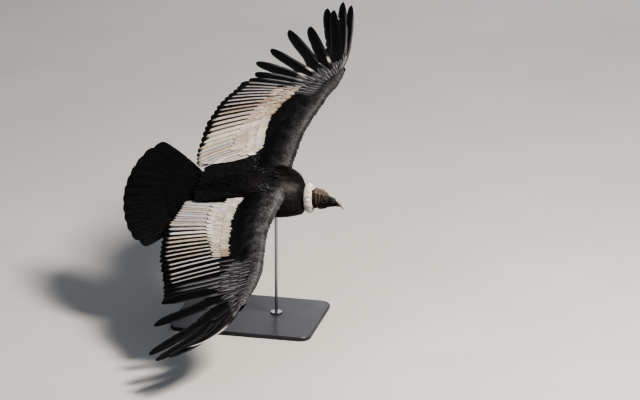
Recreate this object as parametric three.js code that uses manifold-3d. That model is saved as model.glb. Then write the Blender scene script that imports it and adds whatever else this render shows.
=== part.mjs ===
// A male Andean condor gliding in a banked right turn, as a life-size still model on a plain display stand.
// Millimetres, +Z up. The origin is the middle of the stand's underside, and the bird heads towards +X.
// The bird is shaped level in its own frame (x forward, y to its left, z up), then banked over the stand.
import * as THREE from "three";
import { mergeVertices } from "three/addons/utils/BufferGeometryUtils.js";
import Module from "manifold-3d";

const wasm = await Module();
wasm.setup();

const { cos, sin, sqrt, max, min, abs, PI } = Math;
const rad = THREE.MathUtils.degToRad;
const lerp = THREE.MathUtils.lerp;
const smooth = (t, from = 0, to = 1) => THREE.MathUtils.smoothstep(t, from, to);
const v3 = (x, y, z) => new THREE.Vector3(x, y, z);

// Gap kept where two pieces meet
const GAP = 0.35;
const SLIVER = 0.03;

// How the whole bird hangs over the stand
const FLIGHT_HEIGHT = 715;
const BANK_DEG = 27;
const PITCH_DEG = 4;

// Trunk, with the feathered base of the neck at its front and the root of the tail at its rear
const TRUNK_REAR = -340;
const TRUNK_FRONT = 285;
const TAIL_CUT = -240;

// Bones of the wing
const SHOULDER = v3(170, 100, 55);
const HUMERUS = 280;
const ULNA = 310;
const HAND = 240;

// Slope of the wing along its span: up over the arm, down over the hand, level again at the tips
const ARM_RISE_DEG = 6;
const HAND_RISE_DEG = -14;
const TIP_RISE_DEG = -6;
const CAMBER = 0.00018;

// Each wing's pose. A bone's angle is its forward sweep from straight out and a feather's its turn
// outwards from straight back. A primary reaches out to its length and its tip curls up by its lift.
const WINGS = [
  {
    name: "left",
    side: 1,
    humerus: -10.5,
    ulna: 38,
    hand: 9.5,
    tertial: [90, 80],
    secondaryAngles: [[0, 21], [0.3, 14.5], [0.55, 10], [0.76, 6.5], [1, 2]],
    primaryAngles: [24, 28, 34.5, 43, 57, 65.5, 75.5, 78, 82, 86],
    primaryReach: [510, 508, 568, 552, 630, 532, 674, 588, 628, 568],
    primaryLifts: [0, 0, 5, 30, 30, 55, 35, 60, 60, 60],
    cut: 22.5,
  },
  {
    name: "right",
    side: -1,
    humerus: -27.5,
    ulna: 24.7,
    hand: -14,
    tertial: [40, 70],
    secondaryAngles: [[0, -7], [0.3, -10.8], [0.5, -13.3], [0.76, -12.8], [1, -11.5]],
    primaryAngles: [-2, 1.5, 5.5, 10, 13.5, 26.5, 43.5, 52, 58.5, 62],
    primaryReach: [517, 496, 478, 467, 468, 516, 602, 596, 534, 440],
    primaryLifts: [0, 0, 0, 5, 20, 40, 100, 160, 200, 220],
    cut: -4.5,
  },
];

const SECONDARIES = 14;
const SECONDARY_LENGTHS = [[0, 534], [0.3, 500], [0.5, 466], [0.65, 434], [1, 402]];
const SECONDARY = { outer: 29, inner: 50, segments: 3 };
const TERTIALS = [[4, 318], [30, 352], [54, 384]];
const TERTIAL_TURN_DEG = -3;

// Widths of the ten primaries' webs before and after they narrow into fingers
const PRIMARY_OUTER = [24, 24, 23, 21, 20, 20, 19, 18, 16, 13];
const PRIMARY_INNER = [48, 50, 52, 54, 54, 54, 52, 50, 46, 38];
const FINGER_FROM = 2;
const FINGER_OUTER = 0.68;
const FINGER_INNER = 0.74;

const VANE_THICKNESS = 0.9;
const VANE_TILT = 0.07;

// Tiers of coverts along the arm: where their roots lie back from the leading edge as a share of the
// flesh's depth, how far they ride above or below it, and their size
const ARM_TIERS = [
  { count: 12, at: 0.86, layer: 1.7, length: 215, outer: 23, inner: 31, from: 60, segments: 3 },
  { count: 10, at: 0.6, layer: 5.4, length: 145, outer: 27, inner: 32, from: 45, segments: 3 },
  { count: 7, at: 0.72, layer: -3.8, length: 150, outer: 36, inner: 42, from: 70, segments: 2 },
];

// Tail: a fan of twelve feathers with coverts over and under its root
const TAIL_FEATHERS = 12;
const TAIL_ROOT = -262;
const TAIL_LENGTH = 430;
const TAIL_SPREAD_DEG = 43;
const TAIL_BOW = 14;
const TAIL_TURN_DEG = -1;
const TAIL_TWIST_DEG = 4;
const TAIL_UNEVEN = 0.04;
const TAIL_ROUNDED = 0.05;
const TAIL_LEVEL = -20;
const TAIL_DROOP = 0.0001;

// Head: its middle line leaves the neck at HEAD_AT, rolled back towards level and dipped
const HEAD_AT = v3(348, 0, -56);
const HEAD_ROLL_DEG = -19;
const HEAD_DIP_DEG = 12;
const NECK_CUT = -14;
const RUFF_FRONT = -3;
const HEAD_FRONT = 108;
const EYE = v3(48, 21, 15);
const EYE_RADIUS = 9;
const NOSTRIL = v3(90, 19, 7);
const GAPE = v3(60, 30, -8);

// Collar of white down round the neck
const COLLAR_AT = v3(320, 0, -50);
const COLLAR_RADIUS = 80;
const COLLAR_ROWS = [
  { count: 13, x: 11, lean: 34, length: 32, reach: 0.93 },
  { count: 14, x: 2, lean: 26, length: 32, reach: 1 },
  { count: 13, x: -8, lean: 18, length: 30, reach: 1 },
];

// Display stand
const BASE = { length: 760, width: 560, height: 22, corner: 60, edge: 3 };
const ROD_RADIUS = 8;
const RODS = [["front", 130, 45], ["rear", -200, 48]];
const PAD_RADIUS = 30;
const PAD_THICKNESS = 5;

const FEATHER_BLACK = { color: 0x17161a, roughness: 0.7, metalness: 0 };
const DOWN_WHITE = { color: 0xe9e4d8, roughness: 0.9, metalness: 0 };
const BARE_SKIN = { color: 0x6b4a3c, roughness: 0.6, metalness: 0 };
const BILL_HORN = { color: 0xd9cfb8, roughness: 0.35, metalness: 0 };
const LEG_SCALE = { color: 0x55504c, roughness: 0.6, metalness: 0 };
const EYE_WET = { color: 0x5a2f1c, roughness: 0.08, metalness: 0 };
const STAND_PAINT = { color: 0x2b2c2e, roughness: 0.5, metalness: 0.1 };
const STAND_STEEL = { color: 0xb4b6b8, roughness: 0.35, metalness: 1 };

// A seeded draw between -1 and 1
function drawFrom(seed) {
  let state = seed;
  return () => {
    state = (state * 1664525 + 1013904223) >>> 0;
    return state / 2147483648 - 1;
  };
}

// A smooth function through [at, value] pairs, flat beyond its ends
function profile(pairs) {
  const curve = new THREE.CatmullRomCurve3(
    pairs.map(([at, value]) => v3(at, value, 0)),
    false,
    "catmullrom",
    0.4,
  );
  const table = curve.getPoints(pairs.length * 16);
  return (at) => {
    const next = table.findIndex((entry) => entry.x >= at);
    if (next < 0) return table[table.length - 1].y;
    if (next === 0) return table[0].y;
    const [a, b] = [table[next - 1], table[next]];
    return lerp(a.y, b.y, (at - a.x) / (b.x - a.x || 1));
  };
}

const steps = (count) => Array.from({ length: count + 1 }, (_, i) => i / count);

// A closed mesh through rings of equal point counts, capped at both ends. A thin one whose second half
// of each ring is its underside is split into triangles alike on both faces.
function loft(rings, thin = false) {
  const across = rings[0].length;
  const faces = [];
  for (let i = 0; i + 1 < rings.length; i++)
    for (let j = 0; j < across; j++) {
      const a = i * across + j;
      const b = i * across + ((j + 1) % across);
      if (thin && j >= across / 2) faces.push(a, b, b + across, a, b + across, a + across);
      else faces.push(a, b, a + across, b, b + across, a + across);
    }
  const last = (rings.length - 1) * across;
  for (let j = 0; j + 1 < across / 2; j++) {
    const k = across - 1 - j;
    faces.push(j, k, j + 1, j + 1, k, k - 1);
    faces.push(last + j, last + j + 1, last + k, last + j + 1, last + k - 1, last + k);
  }
  const geometry = new THREE.BufferGeometry().setFromPoints(rings.flat());
  geometry.setIndex(faces);
  return solid(geometry);
}

// A closed three.js geometry as a solid, turned right side out
function solid(geometry) {
  const bare = geometry.clone();
  bare.deleteAttribute("normal");
  bare.deleteAttribute("uv");
  const merged = mergeVertices(bare, 1e-4);
  const triVerts = new Uint32Array(merged.index.array);
  const vertProperties = new Float32Array(merged.attributes.position.array);
  const build = () => new wasm.Manifold(new wasm.Mesh({ numProp: 3, vertProperties, triVerts }));
  const made = build();
  if (made.volume() > 0) return made;
  for (let i = 0; i < triVerts.length; i += 3)
    [triVerts[i + 1], triVerts[i + 2]] = [triVerts[i + 2], triVerts[i + 1]];
  return build();
}

const fuse = (pieces) => wasm.Manifold.union(pieces);
const shifted = (made, x, y, z) => made.translate([x, y, z]);
const moved = (made, matrix) => made.transform(matrix.elements);

// The largest closed surface of a solid, which seals a hollow and drops a loose scrap, with the
// slivers that joining and cutting leave along its seams taken out
function largest(made) {
  return made.simplify(SLIVER).decompose().sort((a, b) => b.volume() - a.volume())[0];
}

// The two sides of a solid parted by a plane, half the gap off each
function parted(made, point, normal) {
  const n = normal.clone().normalize();
  const at = n.dot(point);
  const ahead = made.trimByPlane(n.toArray(), at + GAP / 2);
  const behind = made.trimByPlane(n.clone().negate().toArray(), GAP / 2 - at);
  return [ahead, behind];
}

// A tube along a curve through points, its section an ellipse; widen and deepen give its half axes
function tube(points, widen, deepen, stations = 8, sides = 8, up = v3(0, 0, 1)) {
  const curve = new THREE.CatmullRomCurve3(points);
  return loft(
    steps(stations).map((t) => {
      const at = curve.getPoint(t);
      const along = curve.getTangent(t);
      const across = along.clone().cross(up).normalize();
      const over = across.clone().cross(along).normalize();
      return steps(sides)
        .slice(1)
        .map((u) =>
          at
            .clone()
            .addScaledVector(across, widen(t) * cos(2 * PI * u))
            .addScaledVector(over, deepen(t) * sin(2 * PI * u)),
        );
    }),
  );
}

// Section of the trunk along x
const trunkWidth = profile([
  [-340, 46], [-290, 60], [-220, 74], [-120, 98], [0, 120], [110, 126], [190, 114], [240, 100], [285, 85],
]);
const trunkTop = profile([
  [-340, -10], [-290, 14], [-220, 44], [-120, 80], [0, 100], [110, 98], [190, 82], [240, 64], [285, 44],
]);
const trunkBottom = profile([
  [-340, -32], [-290, -46], [-220, -68], [-120, -100], [0, -124], [110, -138], [190, -142], [240, -138],
  [285, -128],
]);

// A point on the trunk's skin; turn 0 is its left side and PI / 2 its back
function trunkPoint(x, turn, grow = 0) {
  const top = trunkTop(x);
  const bottom = trunkBottom(x);
  const middle = (top + bottom) / 2;
  const reach = (top - bottom) / 2 + grow;
  return v3(x, (trunkWidth(x) + grow) * cos(turn), middle + reach * sin(turn));
}

function trunkSolid(grow = 0) {
  return loft(
    steps(15).map((t) => {
      const x = lerp(TRUNK_REAR - grow, TRUNK_FRONT + grow, t);
      return steps(20).slice(1).map((u) => trunkPoint(x, u * 2 * PI, grow));
    }),
  );
}

// The surface that a wing's feathers lie on, reached by x and by s, the distance out along the wing
class WingSurface {
  constructor(pose) {
    const bone = (from, length, sweep) => [
      from[0] + length * sin(rad(sweep)),
      from[1] + length * cos(rad(sweep)),
    ];
    this.side = pose.side;
    this.shoulder = [SHOULDER.x, 0];
    this.elbow = bone(this.shoulder, HUMERUS, pose.humerus);
    this.wrist = bone(this.elbow, ULNA, pose.ulna);
    this.end = bone(this.wrist, HAND, pose.hand);
    const front = this.shoulder[0] + 45;
    const knuckle = this.wrist[0] + 34;
    this.lead = profile([
      [-60, front + 4],
      [0, front],
      [this.wrist[1] / 2, (front + knuckle) / 2 - 30],
      [this.wrist[1], knuckle],
      [(this.wrist[1] + this.end[1]) / 2, (this.wrist[0] + this.end[0]) / 2 + 42],
      [this.end[1], this.end[0] + 27],
      [this.end[1] + 60, this.end[0] + 8],
    ]);
    this.chord = profile([
      [-60, 232],
      [0, 225],
      [this.wrist[1] * 0.3, 185],
      [this.wrist[1] * 0.55, 165],
      [this.wrist[1], 112],
      [(this.wrist[1] + this.end[1]) / 2, 84],
      [this.end[1] + 14, 38],
    ]);
    this.depth = profile([
      [-60, 64],
      [0, 60],
      [this.wrist[1] * 0.5, 44],
      [this.wrist[1], 34],
      [this.end[1] + 14, 12],
    ]);
    this.step = 5;
    this.line = [];
    let y = SHOULDER.y;
    let z = SHOULDER.z;
    for (let s = 0; s <= 1700; s += this.step) {
      const rise = this.rise(s);
      this.line.push([y, z, rise]);
      y += this.step * cos(rise);
      z += this.step * sin(rise);
    }
  }

  rise(s) {
    const hand = smooth(s, this.wrist[1] - 90, this.wrist[1] + 60);
    const tip = smooth(s, this.wrist[1] + 350, this.wrist[1] + 950);
    return rad(lerp(lerp(ARM_RISE_DEG, HAND_RISE_DEG, hand), TIP_RISE_DEG, tip));
  }

  point(x, s, h = 0) {
    const at = min(max(s / this.step, 0), this.line.length - 1.001);
    const i = Math.floor(at);
    const [y, z, rise] = this.line[i].map((value, k) => lerp(value, this.line[i + 1][k], at - i));
    const inside = min(s, 0);
    const back = max(this.lead(s) - x, 0);
    return v3(
      x,
      this.side * (y + inside * cos(rise) - h * sin(rise)),
      z + inside * sin(rise) + h * cos(rise) - CAMBER * back * back,
    );
  }

  // Heights of the flesh's upper and under face over its middle, where u is the share of its depth back
  upper(x, s) {
    return WingSurface.over((this.lead(s) - x) / this.chord(s)) * this.depth(s);
  }

  under(x, s) {
    return WingSurface.below((this.lead(s) - x) / this.chord(s)) * this.depth(s);
  }

  flesh() {
    const backs = [0, 0.06, 0.25, 0.55, 0.82, 1];
    const fronts = [1, 0.75, 0.4, 0.1];
    return loft(
      steps(12).map((t) => {
        const s = lerp(-60, this.end[1] + 14, t);
        const at = (u, shape) => this.point(this.lead(s) - u * this.chord(s), s, shape(u) * this.depth(s));
        return [...backs.map((u) => at(u, WingSurface.over)), ...fronts.map((u) => at(u, WingSurface.below))];
      }),
    );
  }
}
WingSurface.over = profile([[0, 0], [0.06, 0.42], [0.25, 0.6], [0.55, 0.48], [0.82, 0.24], [1, 0.07]]);
WingSurface.below = profile([[0, 0], [0.1, -0.26], [0.4, -0.32], [0.75, -0.16], [1, -0.05]]);

// A feather's vane on a surface: angle turns it outwards from straight back, bow curves it sideways,
// height gives its level over the surface at t, x and s, and each web narrows to the tip
function vane(place, { root, angle, length, outer, inner, height, bow = 0, segments }) {
  const dir = [-cos(rad(angle)), sin(rad(angle))];
  const rings = steps(segments).map((u) => {
    const t = 1 - (1 - u) ** 1.2;
    const sag = 4 * bow * t * (1 - t);
    const slope = (4 * bow * (1 - 2 * t)) / length;
    const side = [dir[1] - slope * dir[0], -dir[0] - slope * dir[1]];
    const x = root[0] + dir[0] * t * length + dir[1] * sag;
    const s = root[1] + dir[1] * t * length - dir[0] * sag;
    const level = height(t, x, s);
    const at = (across, up) =>
      place(x + side[0] * across, s + side[1] * across, level + VANE_TILT * across + up);
    const [o, i] = [outer(t), -inner(t)];
    const half = VANE_THICKNESS / 2;
    return [at(o, half), at(i, half), at(i, -half), at(o, -half)];
  });
  return loft(rings, true);
}

// A web's width along a feather: narrow at the quill, full in the middle, rounded at the tip
const web = (width, power = 6) => (t) => width * (0.45 + 0.55 * smooth(t, 0, 0.2)) * sqrt(max(1 - t ** power, 0.03));

function armFeathers(pose, surface) {
  const place = (x, s, h) => surface.point(x, s, h);
  const [outerPart, innerPart] = [
    [surface.wrist, surface.elbow],
    [surface.elbow, pose.tertial],
  ];
  const reach = ([a, b]) => Math.hypot(b[0] - a[0], b[1] - a[1]);
  const total = reach(outerPart) + reach(innerPart);
  const angleAt = profile(pose.secondaryAngles);
  const lengthAt = profile(SECONDARY_LENGTHS);
  const rootAt = (u) => {
    const d = u * total;
    const [part, along] = d <= reach(outerPart) ? [outerPart, d] : [innerPart, d - reach(outerPart)];
    return [0, 1].map((k) => lerp(part[0][k], part[1][k], along / reach(part)));
  };
  const vanes = steps(SECONDARIES - 1).map((u) =>
    vane(place, {
      root: rootAt(u),
      angle: angleAt(u),
      length: lengthAt(u),
      outer: web(SECONDARY.outer),
      inner: web(SECONDARY.inner, 5),
      height: () => 0,
      bow: 6,
      segments: SECONDARY.segments,
    }),
  );
  for (const [s, length] of TERTIALS)
    vanes.push(
      vane(place, {
        root: [pose.tertial[0] + 10, s],
        angle: angleAt(1) + TERTIAL_TURN_DEG,
        length,
        outer: web(SECONDARY.outer, 4),
        inner: web(SECONDARY.inner, 4),
        height: () => 0,
        segments: SECONDARY.segments,
      }),
    );
  for (const tier of ARM_TIERS)
    for (const u of steps(tier.count - 1)) {
      const s = lerp(tier.from, surface.wrist[1] - 14, u);
      const angle = angleAt(1 - u) * (0.4 + 0.6 * tier.at);
      const level = tier.layer < 0 ? (x, y) => surface.under(x, y) : (x, y) => surface.upper(x, y);
      const sink = tier.layer < 0 ? 3 : -3;
      vanes.push(
        vane(place, {
          root: [surface.lead(s) - tier.at * surface.chord(s), s],
          angle,
          length: tier.length,
          outer: web(tier.outer, 4),
          inner: web(tier.inner, 4),
          height: (t, x, y) => level(x, y) + lerp(sink, tier.layer, smooth(t, 0, 0.3)),
          segments: tier.segments,
        }),
      );
    }
  return vanes;
}

function handFeathers(pose, surface) {
  const place = (x, s, h) => surface.point(x, s, h);
  const rootAt = (f) => [0, 1].map((k) => lerp(surface.wrist[k], surface.end[k], f));
  const vanes = [];
  for (let i = 0; i < 10; i++) {
    const finger = smooth(i, FINGER_FROM - 1, FINGER_FROM + 1);
    const narrow = (share) => (t) => 1 - finger * (1 - share) * smooth(t, 0.36, 0.56);
    const [outer, inner] = [narrow(FINGER_OUTER), narrow(FINGER_INNER)];
    const root = rootAt((i + 0.4) / 9.6);
    vanes.push(
      vane(place, {
        root,
        angle: pose.primaryAngles[i],
        length: pose.primaryReach[i],
        outer: (t) => web(PRIMARY_OUTER[i])(t) * outer(t),
        inner: (t) => web(PRIMARY_INNER[i], 5)(t) * inner(t),
        height: (t) => pose.primaryLifts[i] * max((t - 0.12) / 0.88, 0) ** 1.6,
        bow: 8 + i * 1.2,
        segments: 5,
      }),
    );
    const toLead = surface.lead(root[1]) - root[0];
    if (i === 0) continue;
    vanes.push(
      vane(place, {
        root: [root[0] + toLead * 0.2, root[1]],
        angle: pose.primaryAngles[i] + 2,
        length: 178 - i * 4,
        outer: web(18, 4),
        inner: web(27, 4),
        height: (t, x, s) => max(surface.upper(x, s), 3.6) + lerp(-3, 1.9, smooth(t, 0, 0.3)),
        segments: 3,
      }),
    );
  }
  return vanes;
}

// Rear flight feathers of the hand meet those of the arm along a straight cut through the wrist
function wing(pose, trunkGrown) {
  const surface = new WingSurface(pose);
  const whole = fuse([surface.flesh(), ...armFeathers(pose, surface), ...handFeathers(pose, surface)]);
  const at = surface.point(...surface.wrist);
  const behind = surface.point(
    surface.wrist[0] - 300 * cos(rad(pose.cut)),
    surface.wrist[1] + 300 * sin(rad(pose.cut)),
  );
  const rise = surface.rise(surface.wrist[1]);
  const up = v3(0, -pose.side * sin(rise), cos(rise));
  const outward = behind.clone().sub(at).cross(up).multiplyScalar(pose.side);
  const [hand, arm] = parted(whole.subtract(trunkGrown), at, outward);
  return { arm: largest(arm), hand: largest(hand) };
}

function tail(core) {
  const twist = Math.tan(rad(TAIL_TWIST_DEG));
  const place = (x, y, h) => v3(x, y, TAIL_LEVEL + h + twist * y - TAIL_DROOP * y * y);
  const vanes = [];
  const fan = (count, spread, { x, gather, length, outer, inner, level, segments }) => {
    for (const u of steps(count - 1)) {
      const k = 2 * u - 1;
      const side = k < 0 ? -1 : 1;
      const mirrored = (px, py, h) => place(px, side * py, h);
      const lift = level + (side > 0 && abs(k) < 0.2 ? 3 : 0);
      vanes.push(
        vane(mirrored, {
          root: [x, abs(k) * gather],
          angle: abs(k) * spread + side * TAIL_TURN_DEG,
          length: length * (1 + TAIL_UNEVEN * k - TAIL_ROUNDED * k ** 8),
          outer: web(outer),
          inner: web(inner, 5),
          height: () => lift,
          bow: TAIL_BOW * abs(k) * (length / TAIL_LENGTH),
          segments,
        }),
      );
    }
  };
  fan(TAIL_FEATHERS, TAIL_SPREAD_DEG, {
    x: TAIL_ROOT, gather: 58, length: TAIL_LENGTH, outer: 34, inner: 46, level: 0, segments: 4,
  });
  fan(8, 38, { x: TAIL_ROOT + 8, gather: 58, length: 190, outer: 32, inner: 36, level: 7, segments: 3 });
  fan(6, 30, { x: TAIL_ROOT + 8, gather: 52, length: 200, outer: 34, inner: 40, level: -8, segments: 2 });
  return largest(fuse([core, ...vanes]));
}

// Head and bare neck in the head's own frame: x along its middle line, z up
const headWidth = profile([[-90, 44], [-40, 42], [-14, 39], [20, 37], [50, 31], [75, 22], [95, 15], [112, 12]]);
const headTop = profile([[-90, 46], [-40, 42], [-14, 38], [20, 37], [50, 34], [75, 29], [95, 23], [112, 18]]);
const headBottom = profile([
  [-90, -50], [-40, -48], [-14, -46], [20, -44], [50, -38], [75, -32], [95, -28], [112, -25],
]);

function headSkin(grow = 0) {
  return loft(
    steps(20).map((t) => {
      const x = lerp(-90, HEAD_FRONT + grow, t);
      const wrinkle = x < 0 ? 1.4 * sin(x / 3.2) : 0;
      const middle = (headTop(x) + headBottom(x)) / 2;
      const reach = (headTop(x) - headBottom(x)) / 2 + grow + wrinkle;
      const wide = headWidth(x) + grow + wrinkle;
      return steps(18)
        .slice(1)
        .map((u) => {
          const turn = u * 2 * PI;
          const crown = 1 - 0.16 * max(sin(turn), 0) ** 2;
          return v3(x, wide * crown * cos(turn), middle + reach * sin(turn));
        });
    }),
  );
}

function ball(radius, x, y, z, squash = [1, 1, 1]) {
  return shifted(solid(new THREE.SphereGeometry(radius, 12, 8)).scale(squash), x, y, z);
}

// The fleshy comb over the bill and crown, lumpy along its top
function comb() {
  const draw = drawFrom(5);
  return loft(
    steps(11).map((t) => {
      const x = lerp(RUFF_FRONT + 1, 104, t);
      const rise = 28 * sin(PI * min(t * 1.25 + 0.12, 1)) ** 0.6 + 2.2 * sin(x / 4.1) + draw();
      const base = headTop(x) - 9;
      const top = headTop(x) + max(rise, 2) * (1 - smooth(t, 0.7, 1) * 0.7);
      const half = 8 - 2.5 * t;
      return [
        v3(x, half, base), v3(x, half * 0.95, lerp(base, top, 0.6)), v3(x, half * 0.5, top - 1),
        v3(x, -half * 0.5, top), v3(x, -half * 0.95, lerp(base, top, 0.62)), v3(x, -half, base),
      ];
    }),
  );
}

// A fold of skin along points on one side of the head, fullest at its middle
function fold(side, points, thick) {
  const swell = (t) => thick * (0.35 + sin(PI * t));
  return tube(points.map(([x, y, z]) => v3(x, side * y, z)), swell, swell, 5, 5);
}

// The folds on one side: two down the neck and cheek, the eye's two lids, and the lips
function faceFolds(side) {
  const upperLid = [[-13, 8.5, 5], [-1, 7.5, 11.5], [13, 2.5, 6]];
  const lowerLid = [[-12, 9.5, -4], [0, 8.5, -10.5], [13, 4, -4]];
  const round = ([x, y, z]) => [EYE.x + x, EYE.y + y, EYE.z + z];
  return [
    fold(side, [[3, 35, 22], [9, 37, 6], [8, 37, -12], [3, 36, -30]], 3),
    fold(side, [[14, 35, 24], [23, 36, 6], [20, 36, -14], [11, 33, -34]], 3.2),
    fold(side, upperLid.map(round), 2.8),
    fold(side, lowerLid.map(round), 2.2),
    fold(side, [[56, 30, -4], [78, 21.5, -4.5], [100, 14.5, -5]], 2),
    fold(side, [[58, 28, -14], [78, 20, -16.5], [100, 13, -17.5]], 2),
  ];
}

// What is cut from one side of the head: the eye's socket, the nostril and the line of the mouth
function faceCuts(side) {
  const line = [GAPE, v3(80, 22.5, -10.5), v3(HEAD_FRONT + 4, 13.5, -11)];
  const thin = () => 1.1;
  const deep = () => 3;
  return [
    ball(EYE_RADIUS + GAP, EYE.x, side * EYE.y, EYE.z),
    ball(3.4, NOSTRIL.x, side * NOSTRIL.y, NOSTRIL.z, [2, 1.6, 0.75]),
    tube(line.map((p) => v3(p.x, side * p.y, p.z)), deep, thin, 5, 6),
  ];
}

function wattle() {
  return tube(
    [v3(6, 0, -48), v3(22, 0, -50), v3(44, 0, -43), v3(68, 0, -32)],
    () => 6,
    (t) => 4 + 10 * sin(PI * min(t * 1.2 + 0.14, 1)),
    7,
    8,
  );
}

// Culmen of the upper bill from the face to the point of the hook, and the bill's depth and half width
const BILL_CURVE = new THREE.CatmullRomCurve3([
  v3(102, 20, 0), v3(120, 12.5, 0), v3(136, 4, 0), v3(148, -8, 0), v3(155, -22, 0), v3(155.5, -39, 0),
]);
const BILL_RIDGE = (t) => BILL_CURVE.getPoint(t);
const BILL_DEPTH = profile([[0, 31], [0.3, 27], [0.55, 23], [0.72, 19], [0.88, 9], [1, 1.6]]);
const BILL_WIDTH = profile([[0, 13], [0.3, 10.5], [0.6, 8.5], [0.8, 5.5], [0.92, 3], [1, 0.9]]);

function billUpper() {
  const rings = steps(10).map((t) => {
    const turn = rad(12 + 78 * smooth(t, 0.15, 0.95));
    const ridge = BILL_RIDGE(t);
    const depth = BILL_DEPTH(t);
    const wide = BILL_WIDTH(t);
    return [
      [1, 0.55], [0.75, 0.2], [0.3, 0.02], [-0.3, 0.02], [-0.75, 0.2], [-1, 0.55], [-0.7, 1], [0.7, 1],
    ].map(([across, down]) =>
      v3(ridge.x - down * depth * sin(turn), across * wide, ridge.y - down * depth * cos(turn)),
    );
  });
  return loft(rings);
}

function billLower() {
  const rings = steps(7).map((t) => {
    const x = lerp(HEAD_FRONT - 14, 143, t);
    const top = lerp(-10.5, -16.5, t);
    const depth = lerp(14, 7, t);
    const wide = lerp(12.5, 4.5, t);
    return [
      [1, 0], [-1, 0], [-0.85, 0.7], [-0.3, 1], [0.3, 1], [0.85, 0.7],
    ].map(([across, down]) => v3(x, across * wide, top - down * depth));
  });
  return loft(rings);
}

// A flat tapered lock of down that leaves the collar's core and curls back at its tip
function collarLock(turn, row, size, sway) {
  const out = v3(0, cos(turn), sin(turn));
  const wide = v3(0, -sin(turn), cos(turn));
  const lean = rad(row.lean + sway * 8);
  const rings = steps(2).map((t) => {
    const arch = lean - t * 0.7;
    const reach = lerp(COLLAR_RADIUS * 0.64, COLLAR_RADIUS * row.reach * size, t);
    const x = COLLAR_AT.x + row.x + row.length * t * sin(arch);
    const half = 15 * (1 - 0.66 * t ** 2);
    const thick = 4.5 * (1 - 0.7 * t);
    const at = (across, ahead) =>
      v3(x + ahead, 0, COLLAR_AT.z).addScaledVector(out, reach).addScaledVector(wide, across + sway * 7 * t);
    return [at(half, 0), at(0, thick), at(-half, 0), at(0, -thick)];
  });
  return loft(rings);
}

function collar() {
  const draw = drawFrom(11);
  const core = loft(
    [[-24, 50], [-18, 60], [12, 60], [19, 50]].map(([x, r]) =>
      steps(20).slice(1).map((u) => v3(COLLAR_AT.x + x, r * cos(u * 2 * PI), COLLAR_AT.z + r * sin(u * 2 * PI))),
    ),
  );
  const locks = COLLAR_ROWS.flatMap((row, k) =>
    steps(row.count).slice(1).map((u) => {
      const turn = (u + (k % 2) / (2 * row.count)) * 2 * PI;
      return collarLock(turn, row, 1 + 0.05 * draw(), draw());
    }),
  );
  return fuse([core, ...locks]);
}

function leg(side) {
  return tube(
    [v3(-30, side * 50, -80), v3(-105, side * 62, -122), v3(-180, side * 60, -140), v3(-238, side * 52, -132)],
    profile([[0, 46], [0.4, 40], [0.8, 22], [1, 13]]),
    profile([[0, 52], [0.4, 42], [0.8, 24], [1, 14]]),
    8,
    10,
  );
}

const ANKLE = v3(-238, 52, -132);
const FOOT = v3(-345, 46, -112);
const TOES = [
  { length: 78, spread: -16, drop: 6, radius: 8 },
  { length: 102, spread: 0, drop: 2, radius: 8.5 },
  { length: 74, spread: 15, drop: 5, radius: 8 },
];

function foot(side) {
  const mirrored = (p) => v3(p.x, side * p.y, p.z);
  const shank = tube(
    [mirrored(ANKLE), mirrored(ANKLE.clone().lerp(FOOT, 0.5)), mirrored(FOOT)],
    profile([[0, 13], [0.15, 10.5], [0.8, 9.5], [1, 12]]),
    profile([[0, 14], [0.15, 11.5], [0.8, 10], [1, 11]]),
    5,
    8,
  );
  const digit = (from, { length, spread, drop, radius }, back = -1) => {
    const [a, c] = [rad(spread), cos(rad(spread))];
    const at = (share, z) => v3(from.x + back * length * share * c, side * (from.y + length * share * sin(a)), from.z + z);
    const toe = tube(
      [at(0, 0), at(0.35, drop * 0.6), at(0.7, 0), at(1, -drop)],
      (t) => radius * (1 - 0.3 * t + 0.07 * cos(t * 20)),
      (t) => radius * (0.95 - 0.3 * t + 0.07 * cos(t * 20)),
      4,
      6,
    );
    const claw = tube(
      [at(0.96, -drop + 1), at(1.16, -drop), at(1.3, -drop - 10)],
      (t) => 5 * (1 - 0.85 * t),
      (t) => 5.5 * (1 - 0.85 * t),
      2,
      4,
    );
    return [toe, claw];
  };
  const toes = TOES.flatMap((toe) => digit(FOOT, toe));
  const hind = digit(FOOT.clone().add(v3(14, 0, -8)), { length: 34, spread: 26, drop: 12, radius: 7 });
  return fuse([shank, ...toes, ...hind]);
}

const model = new THREE.Group();

function add(name, made, look) {
  const { numProp, vertProperties, triVerts } = made.getMesh();
  const geometry = new THREE.BufferGeometry();
  geometry.setAttribute("position", new THREE.BufferAttribute(vertProperties, numProp));
  geometry.setIndex(new THREE.BufferAttribute(triVerts, 1));
  const mesh = new THREE.Mesh(geometry, new THREE.MeshStandardMaterial(look));
  mesh.name = name;
  model.add(mesh);
}

const birdFrame = new THREE.Matrix4()
  .makeTranslation(0, 0, FLIGHT_HEIGHT)
  .multiply(new THREE.Matrix4().makeRotationY(-rad(PITCH_DEG)))
  .multiply(new THREE.Matrix4().makeRotationX(rad(BANK_DEG)));
const headFrame = new THREE.Matrix4()
  .makeTranslation(HEAD_AT.x, HEAD_AT.y, HEAD_AT.z)
  .multiply(new THREE.Matrix4().makeRotationY(rad(HEAD_DIP_DEG)))
  .multiply(new THREE.Matrix4().makeRotationX(rad(HEAD_ROLL_DEG)));
const addBird = (name, made, look) => add(name, moved(made, birdFrame), look);

const trunk = trunkSolid();
const trunkGrown = trunkSolid(GAP);
const [torso, tailCore] = parted(trunk, v3(TAIL_CUT, 0, 0), v3(1, 0, 0));
addBird("torso", torso, FEATHER_BLACK);
addBird("tail", tail(tailCore), FEATHER_BLACK);

for (const pose of WINGS) {
  const { arm, hand } = wing(pose, trunkGrown);
  addBird(`wing_${pose.name}_arm`, arm, FEATHER_BLACK);
  addBird(`wing_${pose.name}_hand`, hand, FEATHER_BLACK);
}

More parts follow.
